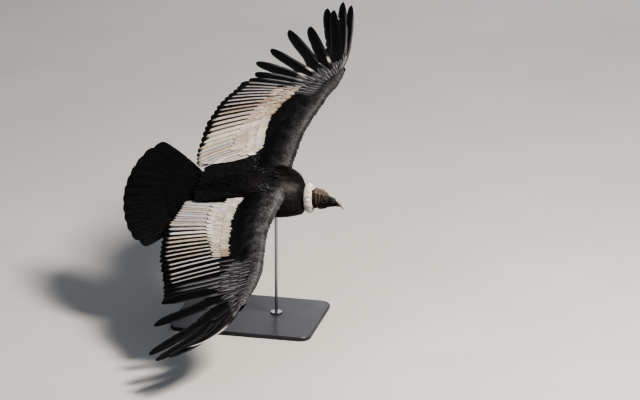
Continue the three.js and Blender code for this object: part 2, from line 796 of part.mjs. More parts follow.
const [headPart, neckPart] = parted(headSkin(), v3(NECK_CUT, 0, 0), v3(1, 0, 0));
const neck = largest(moved(neckPart, headFrame).subtract(trunkGrown));
addBird("neck", neck, BARE_SKIN);

const upper = billUpper();
const lower = billLower();
const face = fuse([headPart, comb(), wattle(), ...faceFolds(1), ...faceFolds(-1)])
  .trimByPlane([1, 0, 0], NECK_CUT + GAP / 2)
  .subtract(fuse([...faceCuts(1), ...faceCuts(-1)]));
const horn = upper.trimByPlane([1, 0, 0], HEAD_FRONT + GAP);
const chin = lower.trimByPlane([1, 0, 0], HEAD_FRONT + GAP);
const head = largest(face.trimByPlane([-1, 0, 0], -HEAD_FRONT));
addBird("head", moved(head, headFrame), BARE_SKIN);
addBird("bill_upper", moved(largest(horn), headFrame), BILL_HORN);
const jaw = chin.subtract(fuse([horn, shifted(horn, 0, 0, -GAP)]));
addBird("bill_lower", moved(largest(jaw), headFrame), BILL_HORN);
for (const [name, side] of [["left", 1], ["right", -1]])
  addBird(`eye_${name}`, moved(ball(EYE_RADIUS, EYE.x, side * EYE.y, EYE.z), headFrame), EYE_WET);

const collarFree = collar().subtract(trunkGrown);
const collarLevel = moved(collarFree, headFrame.clone().invert());
const ruff = collarLevel.subtract(headSkin(GAP)).trimByPlane([-1, 0, 0], GAP - RUFF_FRONT);
addBird("ruff", moved(largest(ruff), headFrame), DOWN_WHITE);

for (const [name, side] of [["left", 1], ["right", -1]]) {
  const [shin, thigh] = parted(leg(side), v3(ANKLE.x + 4, 0, 0), v3(-1, 0, 0));
  addBird(`leg_${name}`, largest(thigh.subtract(trunkGrown)), FEATHER_BLACK);
  const [sole] = parted(foot(side), v3(ANKLE.x + 4, 0, 0), v3(-1, 0, 0));
  addBird(`foot_${name}`, largest(sole), LEG_SCALE);
}

function stand() {
  const half = [BASE.length / 2 - BASE.corner, BASE.width / 2 - BASE.corner];
  const outline = new THREE.Shape();
  for (const [k, [sx, sy]] of [[1, 1], [-1, 1], [-1, -1], [1, -1]].entries())
    outline.absarc(sx * half[0], sy * half[1], BASE.corner - BASE.edge, (k * PI) / 2, ((k + 1) * PI) / 2);
  const plate = new THREE.ExtrudeGeometry(outline, {
    depth: BASE.height - 2 * BASE.edge,
    bevelSize: BASE.edge,
    bevelThickness: BASE.edge,
    bevelSegments: 1,
    curveSegments: 5,
  }).translate(0, 0, BASE.edge);
  add("stand_base", solid(plate), STAND_PAINT);
  const bird = moved(trunkGrown, birdFrame);
  const pad = moved(trunkSolid(GAP + PAD_THICKNESS), birdFrame).subtract(bird);
  for (const [name, x, y] of RODS) {
    const post = (radius, from, to) =>
      shifted(solid(new THREE.CylinderGeometry(radius, radius, to - from, 12)).rotate([90, 0, 0]), x, y, (from + to) / 2);
    const foot = post(PAD_RADIUS, BASE.height + GAP, BASE.height + 8);
    const cup = pad.intersect(post(PAD_RADIUS, 200, FLIGHT_HEIGHT - 60));
    const rod = fuse([foot, post(ROD_RADIUS, BASE.height + GAP, FLIGHT_HEIGHT), cup]).subtract(bird);
    add(`stand_rod_${name}`, largest(rod), STAND_STEEL);
  }
}
stand();

export default model;
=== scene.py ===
"""A male Andean condor gliding in a banked turn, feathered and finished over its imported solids.

The bird is shaped in millimetres in a frame of its own, as its solids are: x forward, y to its left and
z up, with the wings level. Each finished piece is then brought into the row's frame in metres.
"""

import logging
import math
from collections.abc import Callable, Iterable, Sequence
from dataclasses import dataclass, replace
from enum import Enum

import bpy
import numpy as np
from mathutils import Matrix, Vector


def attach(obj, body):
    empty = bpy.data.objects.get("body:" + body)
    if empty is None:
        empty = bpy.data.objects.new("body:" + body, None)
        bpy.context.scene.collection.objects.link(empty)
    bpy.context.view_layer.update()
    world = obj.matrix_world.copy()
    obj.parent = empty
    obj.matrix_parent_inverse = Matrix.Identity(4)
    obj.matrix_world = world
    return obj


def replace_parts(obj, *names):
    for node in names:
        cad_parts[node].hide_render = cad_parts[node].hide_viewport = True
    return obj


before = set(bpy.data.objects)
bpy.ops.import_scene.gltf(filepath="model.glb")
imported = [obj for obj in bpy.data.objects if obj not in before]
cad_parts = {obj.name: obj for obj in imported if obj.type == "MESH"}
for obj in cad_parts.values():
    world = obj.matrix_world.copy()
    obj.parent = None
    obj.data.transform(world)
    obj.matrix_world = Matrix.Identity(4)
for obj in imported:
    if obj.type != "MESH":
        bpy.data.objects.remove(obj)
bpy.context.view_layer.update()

log = logging.getLogger("condor")
Array = np.ndarray
Material = bpy.types.Material
Object = bpy.types.Object
Socket = bpy.types.NodeSocket
Tree = bpy.types.NodeTree

# Metres in a millimetre, then how the bird is held: its middle's height in metres, its bank to the
# right and its pitch, and the head's place in the bird's frame with its roll and dip
MM = 0.001
FLIGHT_HEIGHT = 0.715
BANK_DEG = 27.0
PITCH_DEG = 4.0
HEAD_AT = (348.0, 0.0, -56.0)
HEAD_ROLL_DEG = -19.0
HEAD_DIP_DEG = 12.0


class Side(Enum):
    """A side of the bird, with the sign of y on it."""

    LEFT = 1
    RIGHT = -1

    @property
    def word(self) -> str:
        """The side as the pieces' names have it."""
        return self.name.lower()


def turned(degrees: float, axis: str) -> Matrix:
    """A turn about one axis."""
    return Matrix.Rotation(math.radians(degrees), 4, axis)


BIRD = (
    Matrix.Translation((0, 0, FLIGHT_HEIGHT))
    @ turned(-PITCH_DEG, "Y")
    @ turned(BANK_DEG, "X")
    @ Matrix.Scale(MM, 4)
)
HEAD_IN_BIRD = Matrix.Translation(HEAD_AT) @ turned(HEAD_DIP_DEG, "Y") @ turned(HEAD_ROLL_DEG, "X")


def carried(points: Array, matrix: Matrix) -> Array:
    """Points, in an array whose last axis is x, y and z, moved by a matrix."""
    m = np.array(matrix)
    return points @ m[:3, :3].T + m[:3, 3]


def smooth(t: Array | float, start: float = 0.0, end: float = 1.0) -> Array:
    """A ramp from 0 to 1 that leaves and arrives level."""
    u = np.clip((np.asarray(t, float) - start) / (end - start), 0, 1)
    return u * u * (3 - 2 * u)


def lerp(a: Array | float, b: Array | float, t: Array | float) -> Array:
    """The value at share t of the way from a to b."""
    return a + (b - a) * np.asarray(t)


def full_turn(count: int) -> Array:
    """Angles that go once round."""
    return np.linspace(0, 2 * np.pi, count, endpoint=False)


def grid(shares: Array, count: int) -> tuple[Array, Array]:
    """Shares along a tube and angles round it, for each of its points."""
    return np.meshgrid(shares, full_turn(count), indexing="ij")


def bell(t: Array, width: float) -> Array:
    """A hill of height 1 at 0 that falls to about a third at its width."""
    return np.exp(-((t / width) ** 2))


def linear(code: str) -> Array:
    """An sRGB hex colour as linear red, green and blue."""
    value = np.array([int(code[i : i + 2], 16) for i in (1, 3, 5)]) / 255
    return np.where(value <= 0.04045, value / 12.92, ((value + 0.055) / 1.055) ** 2.4)


def rgba(code: str) -> tuple[float, ...]:
    """An sRGB hex colour as a shader socket takes it."""
    return (*linear(code), 1.0)


class Profile:
    """A smooth function through pairs of place and value, level beyond its ends."""

    STEPS = 16

    def __init__(self, *pairs: Sequence[float], tension: float = 0.4) -> None:
        """Args: pairs: places in rising order with their values. tension: how far the curve swings."""
        knots = np.array(pairs, float)
        padded = np.vstack([2 * knots[0] - knots[1], knots, 2 * knots[-1] - knots[-2]])
        t = np.linspace(0, 1, self.STEPS, endpoint=False)[:, None]
        spans = []
        for p0, p1, p2, p3 in zip(padded, padded[1:], padded[2:], padded[3:]):
            m1, m2 = tension * (p2 - p0), tension * (p3 - p1)
            cubic = 2 * (p1 - p2) + m1 + m2
            spans.append(p1 + t * m1 + t**2 * (3 * (p2 - p1) - 2 * m1 - m2) + t**3 * cubic)
        self.curve = np.vstack([*spans, knots[-1:]])

    def __call__(self, at: Array | float) -> Array:
        """The value at a place."""
        return np.interp(at, self.curve[:, 0], self.curve[:, 1])


class Speckle:
    """Smooth seeded noise in space, the sum of a few waves that point all ways."""

    def __init__(self, seed: int, size: float, waves: int = 9) -> None:
        """Args: seed: the draw's seed. size: length of a wave in the points' units."""
        draw = np.random.default_rng(seed)
        ways = draw.normal(size=(waves, 3))
        scale = draw.uniform(0.7, 1.6, size=(waves, 1)) * 2 * np.pi / size
        self.ways = ways / np.linalg.norm(ways, axis=1, keepdims=True) * scale
        self.phase = draw.uniform(0, 2 * np.pi, waves)

    def __call__(self, points: Array) -> Array:
        """Values of about -1 to 1 at points."""
        return np.sin(points @ self.ways.T + self.phase).sum(-1) / math.sqrt(len(self.phase) * 1.4)


# Colours of the coat, the bare parts and the stand
INK = linear("#0f0f12")
SOOT = linear("#1a191b")
EARTH = linear("#3f3934")
SILVER = linear("#8f9094")
PEWTER = linear("#5a595c")
CHALK = linear("#dfdcd6")
CREAM = linear("#cdc2b3")
TAN = linear("#9c8876")
PEARL = linear("#bab9be")
SNOW = linear("#fbf9f5")


def mixed(a: Array, b: Array, share: Array | float) -> Array:
    """Colour a mixed with colour b, by a share for each point."""
    return a + (b - a) * np.asarray(share)[..., None]


class Pile:
    """Many small closed pieces of quads gathered into one mesh."""

    def __init__(self) -> None:
        """Start with nothing in it."""
        self.points: list[Array] = []
        self.quads: list[Array] = []
        self.tones: list[Array] = []
        self.vanes: list[Array] = []
        self.bakes: list[Array] = []
        self.size = 0

    def add(self, points: Array, quads: Array, tones: Array, vanes: Array, bakes: Array) -> None:
        """Add pieces that are split alike.

        Args:
            points: (pieces, points, 3) places in the bird's frame.
            quads: (faces, 4) corners of each face in one piece.
            tones: (pieces, points, 3) linear colours.
            vanes: (pieces, points, 2) metres across and along the vane.
            bakes: (pieces, faces, 4, 2) places on the baked map.
        """
        count, each = points.shape[:2]
        starts = self.size + np.arange(count)[:, None, None] * each
        self.points.append(points.reshape(-1, 3))
        self.quads.append((quads[None] + starts).reshape(-1, 4))
        self.tones.append(np.broadcast_to(tones, points.shape).reshape(-1, 3))
        self.vanes.append(vanes[:, quads].reshape(-1, 2))
        self.bakes.append(bakes.reshape(-1, 2))
        self.size += count * each

    def build(self, name: str, finish: Material, slot: str, crease: float = 50) -> Object:
        """Make the mesh as a piece of the part.

        Args:
            name: the piece's name.
            finish: its material.
            slot: a material slot's name; it is not used.
            crease: degrees between faces past which their edge is sharp.
        Returns:
            The new object.
        """
        points = carried(np.vstack(self.points), BIRD)
        piece = meshed(name, points, np.vstack(self.quads), finish, crease)
        toned(piece, np.vstack(self.tones))
        mapped(piece, "OFBake", np.vstack(self.bakes))
        mapped(piece, "Vane", np.vstack(self.vanes))
        return piece


def placed(name: str, data: bpy.types.ID) -> Object:
    """A new object in the scene.

    Args:
        name: its name.
        data: its mesh, camera or light.
    Returns:
        The object.
    """
    made = bpy.data.objects.new(name, data)
    bpy.context.scene.collection.objects.link(made)
    return made


def meshed(
    name: str, points: Array, quads: Array, finish: Material, crease: float = 50
) -> Object:
    """A smooth-shaded object of quads that rides on the part's one body.

    Args:
        name: the piece's name.
        points: (points, 3) places in metres in the row's frame.
        quads: (faces, 4) corners.
        finish: its material.
        crease: degrees between faces past which their edge is sharp.
    Returns:
        The new object.
    """
    mesh = bpy.data.meshes.new(name)
    mesh.vertices.add(len(points))
    mesh.vertices.foreach_set("co", points.astype(np.float32).ravel())
    mesh.loops.add(quads.size)
    mesh.loops.foreach_set("vertex_index", quads.astype(np.int32).ravel())
    mesh.polygons.add(len(quads))
    mesh.polygons.foreach_set("loop_start", np.arange(0, quads.size, 4, dtype=np.int32))
    mesh.update(calc_edges=True)
    mesh.polygons.foreach_set("use_smooth", np.ones(len(quads), bool))
    mesh.set_sharp_from_angle(angle=math.radians(crease))
    mesh.materials.append(finish)
    piece = placed(name, mesh)
    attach(piece, "root")
    log.info("%s: %d faces", name, len(mesh.polygons))
    return piece


def toned(piece: Object, tones: Array) -> None:
    """Store a linear colour on each point of a piece.

    Args:
        piece: the piece.
        tones: (points, 3) linear colours.
    """
    layer = piece.data.color_attributes.new("Tone", "FLOAT_COLOR", "POINT")
    opaque = np.ones((len(tones), 1))
    layer.data.foreach_set("color", np.hstack([np.clip(tones, 0, 1), opaque]).astype(np.float32).ravel())


def mapped(piece: Object, name: str, places: Array) -> None:
    """Store a UV map on the corners of a piece's faces."""
    layer = piece.data.uv_layers.new(name=name)
    layer.data.foreach_set("uv", places.astype(np.float32).ravel())


def ring_quads(rows: int, ring: int) -> Array:
    """Faces of a closed tube of rows of points, with strips across its two ends.

    Args:
        rows: number of rings.
        ring: points in each, an even number.
    Returns:
        (faces, 4) corners.
    """
    i, j = np.meshgrid(np.arange(rows - 1), np.arange(ring), indexing="ij")
    a = (i * ring + j).ravel()
    b = (i * ring + (j + 1) % ring).ravel()
    wall = np.stack([a, b, b + ring, a + ring], 1)
    k = np.arange(ring // 2 - 1)
    near = np.stack([k, ring - 1 - k, ring - 2 - k, k + 1], 1)
    far = near[:, ::-1] + (rows - 1) * ring
    return np.vstack([wall, near, far])


def ring_corners(rows: int, ring: int) -> Array:
    """Shares around and along a tube at the corners of its faces, as ring_quads orders them.

    Args:
        rows: number of rings.
        ring: points in each.
    Returns:
        (faces, 4, 2) shares.
    """
    i, j = np.meshgrid(np.arange(rows - 1), np.arange(ring), indexing="ij")
    i, j = i.ravel(), j.ravel()
    around = np.stack([j, j + 1, j + 1, j], 1) / ring
    along = np.stack([i, i, i + 1, i + 1], 1) / (rows - 1)
    k = np.arange(ring // 2 - 1)
    edge = np.stack([k, k, k + 1, k + 1], 1) / ring
    ends = [np.stack([edge, np.full_like(edge, end)], 2) for end in (0.0, 1.0)]
    return np.vstack([np.stack([around, along], 2), *ends])


@dataclass(frozen=True)
class Trunk:
    """The trunk's outer form, with the feathered base of the neck and the root of the tail."""

    rear: float = -340.0
    front: float = 285.0
    width: Profile = Profile(
        (-340, 46), (-290, 60), (-220, 74), (-120, 98), (0, 120), (110, 126), (190, 114), (240, 100), (
            285, 85
        )
    )
    top: Profile = Profile(
        (-340, -10), (-290, 14), (-220, 44), (-120, 80), (0, 100), (110, 98), (190, 82), (240, 64), (
            285, 44
        )
    )
    bottom: Profile = Profile(
        (-340, -32), (-290, -46), (-220, -68), (-120, -100), (0, -124), (110, -138), (190, -142),
        (240, -138), (285, -128),
    )

    def point(self, x: Array, turn: Array, grow: Array | float = 0.0) -> Array:
        """A point of the form; turn 0 is its left side and a quarter turn its back.

        Args:
            x: place along the bird.
            turn: 0 at its left side and a quarter turn at its back.
            grow: mm outwards.
        Returns:
            (..., 3) places.
        """
        x, turn, grow = np.broadcast_arrays(np.asarray(x, float), turn, grow)
        top, bottom = self.top(x), self.bottom(x)
        reach = (top - bottom) / 2 + grow
        return np.stack(
            [x, (self.width(x) + grow) * np.cos(turn), (top + bottom) / 2 + reach * np.sin(turn)], -1
        )

    def place(self, x: Array, s: Array, dx: Array, ds: Array, h: Array) -> Array:
        """A point dx and ds mm from a feather's root at x and turn s, h over the form.

        Args:
            x, s: the feather's root.
            dx, ds: mm from it.
            h: mm over the form.
        Returns:
            (..., 3) places.
        """
        turn = s + ds / self.width(x)
        at = np.maximum(x + dx, self.rear - 60)
        return self.point(at, turn, h - 0.9 * np.maximum(at - 274, 0))

    def patch(self, x: Array, s: Array) -> Array:
        """The root's place on the form's unwrap."""
        return np.stack([(x - self.rear) / (self.front - self.rear), (s / (2 * np.pi)) % 1], -1)


@dataclass(frozen=True)
class WingPose:
    """How one wing is held. Bones' angles sweep forward, and feathers' angles turn out from straight back."""

    side: Side
    humerus: float
    ulna: float
    hand: float
    inner_root: tuple[float, float]
    tip_line: Profile
    tip_places: Profile
    root_shares: Profile
    primary_angles: tuple[float, ...]
    primary_reach: tuple[float, ...]
    primary_lifts: tuple[float, ...]
    white_from: Profile
    covert_tips: Profile
    trailing_band: float
    inner_white: float
    black_edge: Profile
    white_start: float
    white_end: float
    stripe_white: Profile
    humerals: tuple[tuple[float, float, float, float], ...]
    tertials: tuple[tuple[float, float], ...]
    # Silver on the outer webs of the outermost primaries: partly their own colour, partly painted reflection
    outer_silver_and_glint: float
    # Painted highlight at the bases of the middle primaries
    base_glint: float
    # Silver-grey of the coverts at the leading edge: partly their own grey, partly painted sheen
    edge_silver_and_sheen: float
    covert_reach: float


LEFT_WING = WingPose(
    side=Side.LEFT,
    humerus=-10.5,
    ulna=38,
    hand=9.5,
    inner_root=(90, 80),
    tip_line=Profile(
        (94, -326), (180, -334), (260, -332), (341, -324), (430, -301), (520, -271), (615, -231),
        (711, -189),
    ),
    tip_places=Profile((0, 703), (0.5, 392), (0.8, 190), (1, 92)),
    root_shares=Profile(
        (92, 1.1), (141, 0.98), (250, 0.68), (350, 0.43), (450, 0.25), (600, 0.07), (703, 0)
    ),
    primary_angles=(24, 28, 34.5, 43, 57, 65.5, 75.5, 78, 82, 86),
    primary_reach=(510, 508, 568, 552, 630, 532, 674, 588, 628, 568),
    primary_lifts=(0, 0, 5, 30, 30, 55, 35, 60, 60, 60),
    white_from=Profile(
        (0, 225), (111, 222), (151, 196), (253, 216), (319, 234), (382, 238), (448, 229), (501, 212), (
            604, 190
        )
    ),
    covert_tips=Profile((0, 372), (200, 378), (355, 375), (517, 361), (609, 347), (666, 314)),
    trailing_band=38,
    inner_white=0.66,
    black_edge=Profile((-330, 76), (-180, 70), (-82, 90), (1, 125), (37, 155), (60, 200)),
    white_start=112,
    white_end=600,
    stripe_white=Profile((0, 1), (540, 1), (703, 0.6)),
    humerals=((112, 225, -302, 85), (108, 198, -268, 79), (104, 172, -226, 76), (100, 146, -178, 77)),
    tertials=((0, 340), (14, 356), (28, 366), (42, 374), (56, 382)),
    outer_silver_and_glint=0.35,
    base_glint=1.0,
    edge_silver_and_sheen=0.6,
    covert_reach=1.33,
)
RIGHT_WING = WingPose(
    side=Side.RIGHT,
    humerus=-27.5,
    ulna=24.7,
    hand=-14,
    inner_root=(40, 70),
    tip_line=Profile(
        (-10, -356), (56, -370), (185, -398), (300, -402), (400, -390), (480, -366), (578, -336),
        (694, -310),
    ),
    tip_places=Profile((0, 615), (0.15, 545), (0.5, 325), (0.75, 160), (1, 0)),
    root_shares=Profile(
        (0, 1.5), (95, 1.27), (193, 1.06), (250, 0.97), (377, 0.7), (477, 0.5), (535, 0.36), (615, 0.08)
    ),
    primary_angles=(11.5, 11.9, 12.2, 12.7, 13.5, 26.5, 43.5, 52, 58.5, 62),
    primary_reach=(503, 490, 481, 472, 468, 516, 602, 596, 534, 440),
    primary_lifts=(0, 0, 0, 5, 20, 40, 100, 160, 200, 220),
    white_from=Profile(
        (-20, 226), (43, 232), (100, 234), (181, 226), (262, 207), (381, 203), (458, 192), (520, 184)
    ),
    covert_tips=Profile((0, 392), (112, 378), (183, 363), (273, 336), (372, 306), (432, 282), (520, 236)),
    trailing_band=36,
    inner_white=0.72,
    black_edge=Profile((-330, 4), (-200, -2), (-60, -8), (20, -14), (60, -18)),
    white_start=-16,
    white_end=462,
    stripe_white=Profile((0, 1), (530, 1), (615, 0.85)),
    humerals=(),
    tertials=((-66, 280), (-56, 296), (-46, 312), (-36, 326), (-28, 338)),
    outer_silver_and_glint=1.0,
    base_glint=0.15,
    edge_silver_and_sheen=0.85,
    covert_reach=1.0,
)


@dataclass
class Wing:
    """The surface that one wing's feathers lie on. Its s is the distance out along the wing."""

    pose: WingPose
    shoulder: tuple[float, float, float] = (170.0, 100.0, 55.0)
    humerus: float = 280.0
    ulna: float = 310.0
    hand: float = 240.0
    arm_rise: float = 6.0
    hand_rise: float = -14.0
    tip_rise: float = -6.0
    camber: float = 0.00018
    over: Profile = Profile((0, 0), (0.06, 0.42), (0.25, 0.6), (0.55, 0.48), (0.82, 0.24), (1, 0.07))
    below: Profile = Profile((0, 0), (0.1, -0.26), (0.4, -0.32), (0.75, -0.16), (1, -0.05))
    step: float = 5.0
    reach: float = 1700.0

    def __post_init__(self) -> None:
        """Lay out the bones, the leading edge and the slope of the wing."""
        pose = self.pose
        root = np.array([self.shoulder[0], 0.0])
        self.elbow = root + self.bone(self.humerus, pose.humerus)
        self.wrist = self.elbow + self.bone(self.ulna, pose.ulna)
        self.end = self.wrist + self.bone(self.hand, pose.hand)
        out, tip = self.wrist[1], self.end[1]
        front, knuckle = root[0] + 45, self.wrist[0] + 34
        self.lead = Profile(
            (-60, front + 4),
            (0, front),
            (out / 2, (front + knuckle) / 2 - 30),
            (out, knuckle),
            ((out + tip) / 2, (self.wrist[0] + self.end[0]) / 2 + 42),
            (tip, self.end[0] + 27),
            (tip + 60, self.end[0] + 8),
        )
        self.chord = Profile(
            (-60, 232), (0, 225), (out * 0.3, 185), (out * 0.55, 165), (out, 112), ((out + tip) / 2, 84), (
                tip + 14, 38
            )
        )
        self.depth = Profile((-60, 64), (0, 60), (out * 0.5, 44), (out, 34), (tip + 14, 12))
        self.stations = np.arange(0, self.reach + 1, self.step)
        self.rises = self.rise(self.stations)
        self.ys, self.zs = (
            start + self.step * np.concatenate([[0], np.cumsum(way(self.rises))[:-1]])
            for start, way in zip(self.shoulder[1:], (np.cos, np.sin))
        )

    @staticmethod
    def bone(length: float, sweep: float) -> Array:
        """A bone's step forward and outward."""
        return length * np.array([math.sin(math.radians(sweep)), math.cos(math.radians(sweep))])

    def rise(self, s: Array) -> Array:
        """Slope of the wing along its span, in radians.

        Args:
            s: distances out.
        Returns:
            Angles.
        """
        hand = smooth(s, self.wrist[1] - 90, self.wrist[1] + 60)
        tip = smooth(s, self.wrist[1] + 350, self.wrist[1] + 950)
        return np.radians(lerp(lerp(self.arm_rise, self.hand_rise, hand), self.tip_rise, tip))

    def point(self, x: Array, s: Array, h: Array) -> Array:
        """A point at x and s, h over the wing's middle surface.

        Args:
            x, s: place on the wing.
            h: mm over it.
        Returns:
            (..., 3) places.
        """
        x, s, h = np.broadcast_arrays(x, s, h)
        y, z, rise = (np.interp(s, self.stations, line) for line in (self.ys, self.zs, self.rises))
        inside = np.minimum(s, 0)
        back = np.maximum(self.lead(s) - x, 0)
        across = y + inside * np.cos(rise) - h * np.sin(rise)
        return np.stack(
            [
                x, self.pose.side.value * across,
                z + inside * np.sin(rise) + h * np.cos(rise) - self.camber * back**2,
            ], -1
        )

    def place(self, x: Array, s: Array, dx: Array, ds: Array, h: Array) -> Array:
        """A point dx and ds mm from a feather's root, h over the wing's middle surface."""
        return self.point(x + dx, s + ds, h)

    def flesh(self, x: Array, s: Array, over: bool) -> Array:
        """Height of the wing's upper or under face."""
        share = (self.lead(s) - x) / self.chord(s)
        return (self.over if over else self.below)(share) * self.depth(s)

    def patch(self, x: Array, s: Array) -> Array:
        """The root's place on the wing's unwrap."""
        return np.stack([0.1 + (x + 250) / 800, 0.05 + s / 1000], -1)


@dataclass(frozen=True)
class Bridge:
    """The upper face of a wing's root where it runs up onto the back, for the shoulder feathers."""

    wing: Wing

    def place(self, x: Array, s: Array, dx: Array, ds: Array, h: Array) -> Array:
        """A point dx and ds mm from a feather's root, h over the bridge.

        Args:
            x, s: the feather's root.
            dx, ds: mm from it.
            h: mm over the bridge.
        Returns:
            (..., 3) places.
        """
        at = s + ds
        hump = np.interp(at, (-75, -45, -20, 0, 25, 60, 95), (40, 32, 21, 12, 7, 5, 4))
        rear = smooth(x + dx, -330, -60)
        return self.wing.point(
            x + dx, at, h + hump * lerp(0.35, 1, rear) + self.wing.flesh(x + dx, at, True) * 0.5
        )

    def patch(self, x: Array, s: Array) -> Array:
        """The root's place on the unwrap."""
        return np.stack([0.1 + (x + 250) / 800, 0.15 + s / 400], -1)


@dataclass(frozen=True)
class Rump:
    """The plane of the tail's fan, drooped to its edges and twisted a little."""

    level: float = -20.0
    droop: float = 0.0001
    twist: float = math.tan(math.radians(4))

    def place(self, x: Array, s: Array, dx: Array, ds: Array, h: Array) -> Array:
        """A point on the fan.

        Args:
            x, s: the feather's root, s to the bird's left.
            dx, ds: mm from it.
            h: mm over the fan.
        Returns:
            (..., 3) places.
        """
        y = s + ds
        return np.stack(
            np.broadcast_arrays(x + dx, y, self.level + h + self.twist * y - self.droop * y * y), -1
        )

    def patch(self, x: Array, s: Array) -> Array:
        """The root's place on the fan's unwrap."""
        return np.stack([0.5 + s / 300, 0.5 + (x + 262) / 300], -1)


@dataclass
class Limb:
    """A tube along a bent line through points, with half axes at each share of its length."""

    knots: Sequence[Sequence[float]]
    wide: Profile
    deep: Profile

    def __post_init__(self) -> None:
        """Draw its middle line through the points."""
        shares = np.linspace(0, 1, len(self.knots))
        self.axes = [Profile(*zip(shares, line), tension=0.5) for line in zip(*self.knots)]
        self.length = sum(math.dist(a, b) for a, b in zip(self.knots, self.knots[1:]))

    def point(self, t: Array, turn: Array, grow: Array | float = 0.0) -> Array:
        """A point at share t of the length, turned round the limb, grown outwards.

        Args:
            t: share of the length.
            turn: angle round the limb.
            grow: mm outwards.
        Returns:
            (..., 3) places.
        """
        t, turn, grow = np.broadcast_arrays(np.asarray(t, float), turn, grow)
        at = np.stack([axis(t) for axis in self.axes], -1)
        along = np.stack([axis(t + 0.02) - axis(t - 0.02) for axis in self.axes], -1)
        along /= np.linalg.norm(along, axis=-1, keepdims=True)
        across = np.cross(along, [0.0, 0.0, 1.0])
        across /= np.linalg.norm(across, axis=-1, keepdims=True)
        over = np.cross(across, along)
        wide = ((self.wide(t) + grow) * np.cos(turn))[..., None]
        deep = ((self.deep(t) + grow) * np.sin(turn))[..., None]
        return at + across * wide + over * deep

    def place(self, x: Array, s: Array, dx: Array, ds: Array, h: Array) -> Array:
        """A point dx and ds mm from a root at share x and turn s, where a feather runs towards the foot."""
        return self.point(np.clip(x - dx / self.length, 0, 1), s + ds / (self.wide(x) + 6), h)

    def patch(self, x: Array, s: Array) -> Array:
        """The root's place on the limb's unwrap."""
        return np.stack([0.05 + 0.9 * x, (s / (2 * np.pi)) % 1], -1)


@dataclass(frozen=True)
class Section:
    """How a vane is split: rows along it, places across each face, its thickness and slope in mm."""

    rows: int
    across: tuple[float, ...]
    thickness: float = 0.5
    tilt: float = 0.07
    hollow: float = 0.0
    tip: float = 0.02

    @property
    def flat(self) -> bool:
        """Whether a thin diamond section serves, with one edge on each side."""
        return len(self.across) == 3

    def ring(self) -> tuple[Array, Array]:
        """Places across and halves of the thickness, round the section.

        Returns:
            The places, and 1 for the full half thickness, minus below.
        """
        a = np.array(self.across)
        if self.flat:
            return np.array([a[2], a[1], a[0], a[1]]), np.array([0.0, 1.0, 0.0, -1.0])
        edge = np.where(np.abs(a) > 0.99, 0.5, 1.0)
        return np.concatenate([a[::-1], a]), np.concatenate([edge[::-1], -edge])


FINE = Section(
    rows=48, across=(-1, -0.72, -0.38, -0.05, 0.05, 0.45, 0.8, 1), thickness=0.8, hollow=0.02, tip=0.004
)
BROAD = Section(rows=16, across=(-1, -0.5, -0.06, 0.06, 0.55, 1), thickness=0.6, hollow=0.03, tip=0.01)
SMALL = Section(rows=6, across=(-1, 0, 1), thickness=1.0, tilt=0.0, tip=0.03)


@dataclass
class Plumes:
    """Feathers that grow from one surface, one value or one array entry for each."""

    x: Array
    s: Array
    angle: Array
    length: Array
    outer: Array
    inner: Array
    root_height: Array | float = 0.0
    tip_height: Array | float = 0.0
    lift: Array | float = 0.0
    bow: Array | float = 0.0
    blunt: float = 5.0
    finger: Array | float = 0.0
    flesh: bool | None = None
    wear: float = 0.0

    def column(self, value: Array | float) -> Array:
        """A value as one column with an entry for each feather."""
        return np.broadcast_to(np.asarray(value, float), self.x.shape)[:, None]


Surface = Trunk | Wing | Bridge | Rump | Limb
# Linear colours from shares along the vane and across it and from whether a point is on its upper face
Paint = Callable[[Array, Array, Array], Array]


